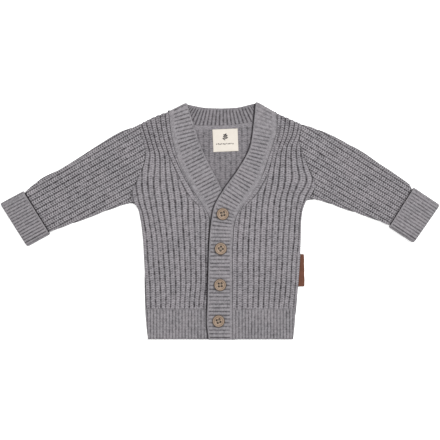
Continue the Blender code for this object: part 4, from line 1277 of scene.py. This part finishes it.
def make_sleeve(side):
    """One sleeve, as a flattened tube with stitches on its outside."""
    stations = np.concatenate([SEAM[:-1, 0] / SLEEVE_LENGTH,
                               np.linspace(SEAM[-1, 0] / SLEEVE_LENGTH, 1.0, SLEEVE_ROWS),
                               np.linspace(1.0, INTO_CUFF, 10)[1:], [1.6, 2.0]])
    rings = [sleeve_ring(side, along) for along in stations]
    points = np.array([ring for ring, _, _ in rings])
    across = np.array([shares for _, shares, _ in rings])
    over = rings[0][2]
    row_picks, column_picks = (some(n, step) for n, step in zip(across.shape, SLEEVE_COARSE))
    inner = np.array([sleeve_ring(side, along, WALL)[0] for along in stations[row_picks]])
    inner = inner[:, column_picks]

    along, off = along_and_off(RIB_LINE[side], points)
    pitch = mix(*RIB_PITCH[side], np.clip(along / along.max(), 0.0, 1.0))
    ribs, rows = off / pitch, along / SLEEVE_ROW
    swell = creases(points[..., 0], points[..., 1]) * (over > 0)
    from_fold = np.minimum(across, 1 - across) * SLEEVE_BREADTH
    points[..., 2] += swell * rounded(from_fold, SWELL_REACH)
    knit_height = rib_height(ribs, rows, pinch=0.26, crease=0.24)
    # In front of the mouth of the cuff the knit sinks, and a shadow is painted into its colour.
    walked = walked_along(points.mean(axis=1))
    from_cuff = np.maximum(np.interp(CUFF_MOUTH, stations, walked) - walked, 0.0)
    sunk_and_shaded = CUFF_MOUTH_SHADE[0] * np.exp(-(from_cuff / CUFF_MOUTH_SHADE[1]) ** 2)
    knit_height *= (1 - sunk_and_shaded)[:, None]

    squash = section_shares(len(stations), start=SEAM)
    middle = (LAYER + WALL) / 2
    squeeze = mix(ARMHOLE_SQUASH, 1.0, squash)[:, None]
    points[..., 2] = middle + (points[..., 2] - middle) * squeeze
    outer = press(points, knit_height, SLEEVE_DEPTH, closed=True)
    knit = np.dstack([ribs, rows, knit_height])
    piece = shell("sleeve_tube_" + side, outer, inner, row_picks, column_picks, knit,
                  sleeve_yarn, closed=True)
    return piece, points[:, over > 0]


for side in ("right", "left"):
    sleeve, upper_layer = make_sleeve(side)
    declare(sleeve, "rib_knit", "sleeve_" + side)
    cut(sleeve, 190.0, 150.0, 2 * area_of(upper_layer[..., :2]))

# %% [markdown]
# ## The cuffs
#
# The sleeve ends in a long fine rib that is turned back on itself, so a cuff has two layers on
# each side. In section it is one long wall: from its mouth down to the wrist, round the turn
# and back inside. Its ribs run along the sleeve. The mouth is a smooth cast-off edge.

# %% Cuffs
CUFF_PITCH = 3.65
CUFF_STEP = 0.85     # between the loops of its grid
CUFF_COLUMNS = 84
LAYER_ROOM = 2.9     # the hollow between the cuff's two layers ends this far from the turn


def cuff_section(length):
    """The cuff's wall in section: distances from the mouth and depths inside."""
    depth = 2 * TRIM + GAP
    mouth = [(0.3, TRIM), (0.05, 1.9), (0.0, 1.3), (0.0, 0.8), (0.2, 0.35), (0.6, 0.08)]
    face = [(d, 0.0) for d in np.linspace(1.2, length - depth / 2, round(length / CUFF_STEP))]
    turn = [(length - depth / 2 * (1 - math.sin(a)), depth / 2 * (1 - math.cos(a)))
            for a in np.linspace(0.0, math.pi, 12)[1:]]
    lining = [(d, depth) for d in np.linspace(length - depth / 2, CUFF_OVERLAP, 12)[1:]]
    end = length - LAYER_ROOM
    hollow = [(CUFF_OVERLAP, TRIM + GAP), (length * 0.6, TRIM + GAP), (end, TRIM + GAP),
              (end + 0.4, depth / 2), (end, TRIM), (length * 0.6, TRIM)]
    return np.array(mouth + face + turn + lining + hollow)


def cuff_loop(side, distance, depth):
    """One flattened loop round the cuff, at a distance from its mouth and a depth inside."""
    top, bottom = cuff_line(side, distance)
    width = np.linalg.norm(bottom - top)
    centre = CUFF_HEIGHT / 2
    radius = centre - depth
    turn = np.linspace(-math.pi / 2, math.pi / 2, 14)
    straight = np.linspace(width - centre, centre, CUFF_COLUMNS)[1:-1]
    across = np.concatenate([width - centre + radius * np.cos(turn), straight,
                             centre - radius * np.cos(turn), straight[::-1]])
    flat = np.ones(len(straight))
    z = np.concatenate([centre - radius * np.sin(turn), flat * (centre - radius),
                        centre + radius * np.sin(turn), flat * (centre + radius)])
    return np.column_stack([mix(top, bottom, (across / width)[:, None]), z])


def make_cuff(side):
    """One turned-back cuff, closed in both directions."""
    section = cuff_section(cuff_length(side))
    points = np.array([cuff_loop(side, distance, depth) for distance, depth in section])
    on_face = np.flatnonzero(section[:, 1] == 0.0)[[2, 4]]
    loop = points[on_face[0]]
    walked = walked_along(np.concatenate([loop, loop[:1]]))
    ribs_in_all = round(walked[-1] / CUFF_PITCH)
    ribs = (walked[:-1] / walked[-1] * ribs_in_all)[None, :] + 0 * points[..., 0]
    rows = section[:, 0][:, None] / ROW["fine"] + 0 * ribs
    ribbed = rib_height(ribs, rows, pinch=0.2, crease=0.08)
    smooth = plain_height(rows, ribs * 2)
    knit_height = mix(smooth, ribbed, ease(1.0, 2.4, section[:, 0])[:, None])
    hidden = (section[:, 1] > 0.1) & (section[:, 1] < TRIM * 2)
    depth = np.where(hidden, 0.15, RIB_DEPTH["fine"])
    wrapped = np.concatenate([points[-1:], points, points[:1]])
    normal = normals_of(wrapped, closed=True)[1:-1]
    normal *= np.sign(normal[on_face[1], -CUFF_COLUMNS // 2, 2])  # out, as on the upper face
    pushed = points - normal * ((1 - knit_height) * depth[:, None])[..., None]
    numbers = numbered(points)
    faces = quads(np.concatenate([numbers, numbers[:1]]), closed=True)
    knit = np.dstack([ribs, rows, knit_height])
    return build("turned_cuff_" + side, pushed.reshape(-1, 3), faces, fine_yarn, knit=knit)


for side in ("right", "left"):
    cuff = make_cuff(side)
    declare(cuff, "trim_knit", "cuff_" + side)
    cut(cuff, 126.0, 64.0, rests_on=("sleeve_tube_" + side,))

# %% [markdown]
# ## The buttons
#
# Four sewn-through buttons, turned from coconut shell or wood: a raised rim round a dished
# face, with four holes. A lathe would cut the same profile, so each one is a profile spun round
# its axis, and the holes are steep dips in the dish. The grain of the material runs straight
# through, whichever way the button was sewn on. Shade is painted into the colour on the outer
# slope of the rim, in a ring at its foot and in the holes. Two crossed stitches of thread hold it.

# %% Buttons
BUTTONS = ((3.3, 7.3, 12.0, 2.5), (0.9, -34.3, 38.0, 0.0), (0.2, -77.6, 4.0, 0.0),
           (-1.7, -120.9, 20.0, 0.0))     # columns: x, y, turn, lean
BUTTON_BASE = 2 * LAYER + TRIM + 0.7
HOLE_PLACE = 1.66
HOLE_RADIUS = 1.25
HOLE_DEPTH = 1.45
HOLE_EDGE = 0.12         # how far the dish is rounded down into a hole
# How dark the painted shade is on the outer slope of the rim, and in the ring at its foot.
RIM_SHADE = 0.75
DISH_SHADE = 0.45        # of the painted shade in a ring at the foot of the rim, at this radius and this wide
DISH_RING = (5.05, 0.35)
THREAD_RADIUS = 0.15
# Columns: radius, height of the upper face; then of the back.
BUTTON_FACE = ((0.0, 1.9), (1.5, 1.92), (3.0, 2.0), (4.4, 2.1), (5.0, 2.35), (5.5, 2.8),
               (5.95, 3.0), (6.5, 2.98), (7.0, 2.72), (7.35, 2.25), (7.5, 1.7))
BUTTON_BACK = ((7.5, 1.6), (7.35, 1.1), (6.9, 0.55), (6.2, 0.2), (5.4, 0.02), (3.0, 0.0),
               (0.3, 0.0))


def shell_of_coconut():
    """Brown shell with a fine grain, and painted shade on the rim and in the holes."""
    finish = Finish("button_shell")
    x, y, painted_shade = finish.attribute("turned")
    stretched = finish.node("ShaderNodeCombineXYZ", inputs={0: x * 0.35, 1: y * 2.4, 2: 0.0})
    grain = finish.noise(stretched, 1.6, 4.0, 0.6)
    speck = finish.noise(finish.place(), 1500.0, 2.0, 0.6)
    body = finish.blend((grain * 1.3 - 0.15).clamped(), (0.15, 0.102, 0.068, 1),
                        (0.32, 0.235, 0.17, 1))
    flecked = finish.blend((speck * 3.0 - 1.9).clamped() * 0.55, body, (0.12, 0.07, 0.045, 1))
    # The holes and the rim get a nearly black painted shade.
    colour = finish.blend(painted_shade, flecked, (0.014, 0.008, 0.005, 1))
    finish.surface(Base_Color=colour, Roughness=0.48, Specular_IOR_Level=0.4)
    finish.bump(grain * 0.6 + speck * 0.4, 0.06 * MM, 0.4)
    return finish.material


def sewing_thread(name, colour):
    """Twisted thread."""
    finish = Finish(name)
    twist = finish.noise(finish.place(), 2600.0, 2.0, 0.6)
    dark = tuple(0.55 * c for c in colour[:3]) + (1.0,)
    finish.surface(Base_Color=finish.blend(twist, dark, colour), Roughness=0.8)
    finish.bump(twist, 0.08 * MM, 0.5)
    return finish.material


def sewn_on(points, button):
    """Points of a button moved from its own frame to where it is sewn on."""
    x, y, turn, lean = button
    tilt = Matrix.Rotation(math.radians(turn), 3, "Z")
    tilt = tilt @ Matrix.Rotation(math.radians(-lean / 2), 3, "Y")
    tilt = tilt @ Matrix.Rotation(math.radians(lean), 3, "X")
    return points @ np.array(tilt).T + np.array((x, y, BUTTON_BASE))


def tube(path, radius, around=10):
    """Points of a round strand along a path, as a grid."""
    tangent = np.gradient(path, axis=0)
    tangent /= np.linalg.norm(tangent, axis=1, keepdims=True)
    side_way = np.cross(tangent, (0.0, 0.0, 1.0))
    side_way /= np.maximum(np.linalg.norm(side_way, axis=1, keepdims=True), 1e-6)
    up = np.cross(side_way, tangent)
    angle = np.linspace(0, 2 * math.pi, around + 1)[:-1]
    ring = np.cos(angle)[None, :, None] * side_way[:, None, :]
    return path[:, None, :] + radius * (ring + np.sin(angle)[None, :, None] * up[:, None, :])


def strands(name, paths, radius, material):
    """Several round strands as one piece."""
    points, faces = [], []
    for path in paths:
        grid = tube(path, radius)
        faces += capped(numbered(grid, first=sum(len(p) for p in points)))
        points.append(grid.reshape(-1, 3))
    return build(name, np.concatenate(points), faces, material)


def make_button(number, button, material):
    """One button, turned on the lathe and drilled."""
    face = curve(BUTTON_FACE)
    radius = np.concatenate([np.linspace(0.3, 5.0, 26), np.linspace(5.15, 7.5, 18)])
    back_radius, back_height = np.array(BUTTON_BACK).T
    angle = np.linspace(0, 2 * math.pi, 97)[:-1]
    r = np.concatenate([radius, back_radius])[:, None]
    z = np.concatenate([face(radius), back_height])[:, None] + 0 * angle
    x, y = r * np.cos(angle), r * np.sin(angle)
    off = np.hypot(np.abs(x) - HOLE_PLACE, np.abs(y) - HOLE_PLACE)
    on_face = (np.arange(len(r)) < len(radius))[:, None]
    hole = ease(HOLE_RADIUS + 0.12, HOLE_RADIUS - 0.18, off)
    rounding = ease(HOLE_RADIUS + 0.5, HOLE_RADIUS, off)
    z = z - on_face * (HOLE_DEPTH * hole + HOLE_EDGE * rounding)
    # Painted shade: full in the holes, on the outer slope of the rim and in a ring at its foot.
    dark = np.maximum(hole * on_face, RIM_SHADE * ease(6.1, 7.0, r) + 0 * x)
    ring = np.exp(-((r - DISH_RING[0]) / DISH_RING[1]) ** 2)
    dark = np.maximum(dark, DISH_SHADE * on_face * ring)
    grid = sewn_on(np.dstack([x, y, z]).reshape(-1, 3), button)
    return build("button_%d_turned" % number, grid, capped(numbered(x)), material,
                 turned=np.dstack([x, y, dark]))


def cross_stitch(number, button, thread):
    """Two doubled stitches that cross on a button, from hole to hole."""
    u = np.linspace(-1, 1, 15)[:, None]
    rise = 2.35 - 1.5 * np.abs(u) ** 5
    paths = []
    for direction in (1, -1):
        for shift in (-0.126, 0.126):
            diagonal = np.array((1.0, direction)) * HOLE_PLACE
            aside = np.array((direction, -1.0)) * shift
            path = np.hstack([u * diagonal + aside, rise + 0.16 * (direction > 0)])
            paths.append(sewn_on(path, button))
    return strands("button_%d_thread" % number, paths, THREAD_RADIUS, thread)


coconut = shell_of_coconut()
pale_thread = sewing_thread("pale_thread", (0.36, 0.30, 0.24, 1.0))
for number, button in enumerate(BUTTONS, start=1):
    declare(make_button(number, button, coconut), "button", "button_%d" % number)
    declare(cross_stitch(number, button, pale_thread), "button")

# %% [markdown]
# ## The woven label
#
# The label is a small square of cream satin ribbon that is tacked inside the neck. Its own mark
# is replaced by a plain sprig of leaves over a dashed line. The marks are dark embroidery
# threads that stand up a little, so they are made as short strands. The ribbon is a fine grid
# with a slight wave and turned-down edges.

# %% Label
LABEL_SIZE = (30.3, 27.2)
LABEL_CENTRE = (6.6, 95.9)
LABEL_TURN = math.radians(2.4)


def satin():
    """Cream satin: fine threads across and along, and a soft gloss."""
    finish = Finish("cream_satin")
    where = finish.place()
    wave = finish.node("ShaderNodeTexWave", {"bands_direction": "Y"},
                       {"Vector": where, "Scale": 520.0, "Distortion": 0.6, "Detail": 1.0}, 1)
    cross = finish.node("ShaderNodeTexWave", {"bands_direction": "X"},
                        {"Vector": where, "Scale": 430.0, "Distortion": 0.8, "Detail": 1.0}, 1)
    cloud = finish.noise(where, 160.0, 3.0, 0.5)
    tone = (cloud * 0.45 + wave * 0.2 + cross * 0.12 + 0.15).clamped()
    colour = finish.blend(tone, (0.42, 0.38, 0.33, 1), (0.58, 0.54, 0.485, 1))
    finish.surface(Base_Color=colour, Roughness=0.62, Sheen_Weight=0.1)
    finish.bump(wave * 0.6 + cross * 0.4, 0.07 * MM, 0.5)
    return finish.material


def on_label(points):
    """Points of the label moved to its place inside the neck."""
    c, t = math.cos(LABEL_TURN), math.sin(LABEL_TURN)
    turn = np.array(((c, -t, 0.0), (t, c, 0.0), (0.0, 0.0, 1.0)))
    return points @ turn.T + np.array((*LABEL_CENTRE, WALL + GAP))


def label_wave(x, y):
    """How high the face of the label stands above its flat underside."""
    wave = 0.10 * np.sin(x * 0.35 + 0.8) * np.cos(y * 0.22) + 0.06 * np.sin(y * 0.5 + x * 0.1)
    edge = np.minimum(LABEL_SIZE[0] / 2 - np.abs(x), LABEL_SIZE[1] / 2 - np.abs(y))
    return 0.42 + wave - 0.3 * (1 - ease(0.0, 0.9, edge))


def make_label():
    """The ribbon of the label."""
    x = np.linspace(-LABEL_SIZE[0] / 2, LABEL_SIZE[0] / 2, 79)
    y = np.linspace(-LABEL_SIZE[1] / 2, LABEL_SIZE[1] / 2, 73)
    x, y = np.meshgrid(x, y)
    upper = np.dstack([x, y, label_wave(x, y)])
    picks = [some(n, 6) for n in x.shape]
    lower = np.dstack([x, y, 0 * x])[np.ix_(*picks)]
    grids = [on_label(g.reshape(-1, 3)).reshape(g.shape) for g in (upper, lower)]
    knit = np.dstack([x, y, 0 * x])
    return shell("label_ribbon", grids[0], grids[1], *picks, knit, satin())


# Columns: x, y of the foot of a leaf, its angle in degrees, its length.
LEAVES = ((0.5, 0.6, 152, 3.4), (0.75, 1.6, 28, 3.6), (0.9, 2.9, 148, 3.2),
          (0.9, 3.9, 34, 3.2), (0.75, 5.1, 140, 2.6), (0.6, 5.6, 52, 2.6))
LEAF_BOWS = (-0.75, -0.35, 0.0, 0.35, 0.75)     # a leaf is filled with strands bowed like this
DASHES = 11
DASH_START = -10.4
DASH_PITCH = 1.95
DASH_HEIGHTS = (-5.1, -4.65, -4.2)
MOTIF_SHIFT = (-0.9, 0.4)
MOTIF_RADIUS = 0.21


def make_motif():
    """A sprig of leaves over a dashed line, in embroidery thread."""
    paths = [np.column_stack([0.9 * np.sin(np.linspace(0, 2.2, 20)), np.linspace(-1.0, 6.4, 20)])]
    u = np.linspace(0, 1, 9)[:, None]
    for x, y, angle, length in LEAVES:
        way = np.array((math.cos(math.radians(angle)), math.sin(math.radians(angle))))
        for bow in LEAF_BOWS:
            bend = np.sin(u * math.pi) * bow * np.array((-way[1], way[0]))
            paths.append(np.array((x, y)) + u * length * way + bend)
    for i in range(DASHES):
        start = DASH_START + DASH_PITCH * i
        length = 1.35 if i % 3 else 0.8
        for height in DASH_HEIGHTS:
            paths.append(np.column_stack([np.linspace(start, start + length, 6),
                                          np.full(6, height + 0.3 * math.sin(i * 2.3))]))
    lying = []
    for path in paths:
        path = path + np.array(MOTIF_SHIFT)
        z = label_wave(path[:, 0], path[:, 1]) + 0.02
        lying.append(on_label(np.column_stack([path, z])))
    dark_thread = sewing_thread("dark_thread", (0.06, 0.052, 0.05, 1.0))
    return strands("label_sprig", lying, MOTIF_RADIUS, dark_thread)


label, motif = make_label(), make_motif()
declare(label, "label", "neck_label")
declare(motif, "label")
cut(label, *LABEL_SIZE, rests_on=("back_panel",))

# %% [markdown]
# ## The leather tab
#
# A strip of brown leather is folded in half and caught in the side seam, so that only the fold
# shows. In section it is a loop with a rounded bend. The grain is fine pebbling over slow
# clouds of lighter and darker brown.

# %% Leather tab
def leather():
    """Brown aniline leather."""
    finish = Finish("brown_leather")
    where = finish.place()
    cloud = finish.noise(where, 190.0, 3.0, 0.6)
    pores = finish.node("ShaderNodeTexVoronoi", inputs={"Vector": where, "Scale": 2300.0})
    tone = (cloud * 1.2 - 0.1 + pores * 0.15).clamped()
    colour = finish.blend(tone, (0.055, 0.018, 0.009, 1), (0.125, 0.046, 0.025, 1))
    finish.surface(Base_Color=colour, Roughness=cloud * 0.15 + 0.55, Specular_IOR_Level=0.2)
    finish.bump(pores, 0.10 * MM, 0.6)
    return finish.material


TAB_EDGE = (102.0, 101.3)    # x of the fold, at the tab's lower and upper end
TAB_THICKNESS = 1.0


def make_tab():
    """The folded strip: both ends inside the seam and the fold outside it."""
    low, high = (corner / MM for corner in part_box("side_tab"))
    height = high.z
    radius, hollow = height / 2, height / 2 - TAB_THICKNESS
    y = np.linspace(low.y, high.y, 57)
    outer_x = mix(*TAB_EDGE, (y - low.y) / (high.y - low.y)) + 0.12 * np.sin(y * 0.5)
    cut_x = curve(SIDE["left"])(y) - BACK_INSET + GAP + 0.1
    bend = np.linspace(-math.pi / 2, math.pi / 2, 13)
    sections = []
    for edge, end in zip(outer_x, cut_x):
        centre = edge - radius
        outside, inside = ([(centre + r * math.cos(a), radius + r * math.sin(a)) for a in turn]
                           for r, turn in ((radius, bend), (hollow, bend[::-1])))
        under = [(x, 0.0) for x in np.linspace(end, centre, 8)[:-1]]
        over = [(x, height) for x in np.linspace(centre, end, 8)[1:]]
        sections.append(under + outside + over + [(end, height - TAB_THICKNESS)] + inside
                        + [(end, TAB_THICKNESS)])
    sections = np.array(sections)
    grid = np.dstack([sections[..., 0], y[:, None] + 0 * sections[..., 0], sections[..., 1]])
    round_end = ease(0.0, 1.2, np.minimum(y - y[0], y[-1] - y))[:, None]
    grid[..., 0] -= 0.5 * (1 - round_end) * (grid[..., 0] > cut_x[:, None] + 1)
    return build("leather_tab", grid.reshape(-1, 3), capped(numbered(grid)), leather())


tab = make_tab()
declare(tab, "leather", "side_tab")
cut(tab, 18.0, 39.0, held="folded", rests_on=("front_panel_left",))

# %% [markdown]
# ## The stage
#
# A pale floor, two large soft lights overhead and a bright even sky, as in a table-top studio. The
# camera hangs straight above the middle of the cardigan, and a long lens keeps its view almost
# parallel.

# %% Floor, lights and camera
VIEW_WIDTH = 528.0 * MM
MIDDLE_HEIGHT = 6 * MM


def soft_light(name, place, width, power):
    """A large square light that shines at the middle of the cardigan."""
    lamp = bpy.data.lights.new(name, "AREA")
    lamp.size = width
    lamp.energy = power
    thing = into_scene(name, lamp)
    thing.location = place
    thing.rotation_mode = "QUATERNION"
    thing.rotation_quaternion = (-Vector(place)).to_track_quat("-Z", "Y")


def make_stage():
    """The floor, in a plain pale finish."""
    pale = Finish("studio_floor")
    pale.surface(Base_Color=grey(0.93), Roughness=0.9, Emission_Color=grey(1.0),
                 Emission_Strength=0.35)
    corners = [(-6, -6, 0), (6, -6, 0), (6, 6, 0), (-6, 6, 0)]
    mesh = bpy.data.meshes.new("studio_floor")
    mesh.from_pydata(corners, [], [(0, 1, 2, 3)])
    mesh.materials.append(pale.material)
    floor = into_scene("studio_floor", mesh)
    floor.location.z = -0.2 * MM


def make_camera():
    """A camera that looks straight down, with the neck at the top of its view."""
    lens = bpy.data.cameras.new("camera")
    lens.lens = 85.0
    lens.sensor_width = 36.0
    distance = VIEW_WIDTH * lens.lens / lens.sensor_width
    thing = into_scene("camera", lens)
    thing.location = (0.0, 0.0, distance + MIDDLE_HEIGHT)
    bpy.context.scene.camera = thing


make_stage()
make_camera()
soft_light("overhead", (0.5, 0.5, 1.45), 0.7, 24.0)
soft_light("fill", (-0.8, -0.3, 1.4), 1.2, 10.0)
world = bpy.data.worlds.new("studio")
world.use_nodes = True
sky = world.node_tree.nodes["Background"]
sky.inputs["Color"].default_value = grey(1.0)
sky.inputs["Strength"].default_value = 0.58
bpy.context.scene.world = world
bpy.context.scene.view_settings.view_transform = "Standard"
print("stage set")
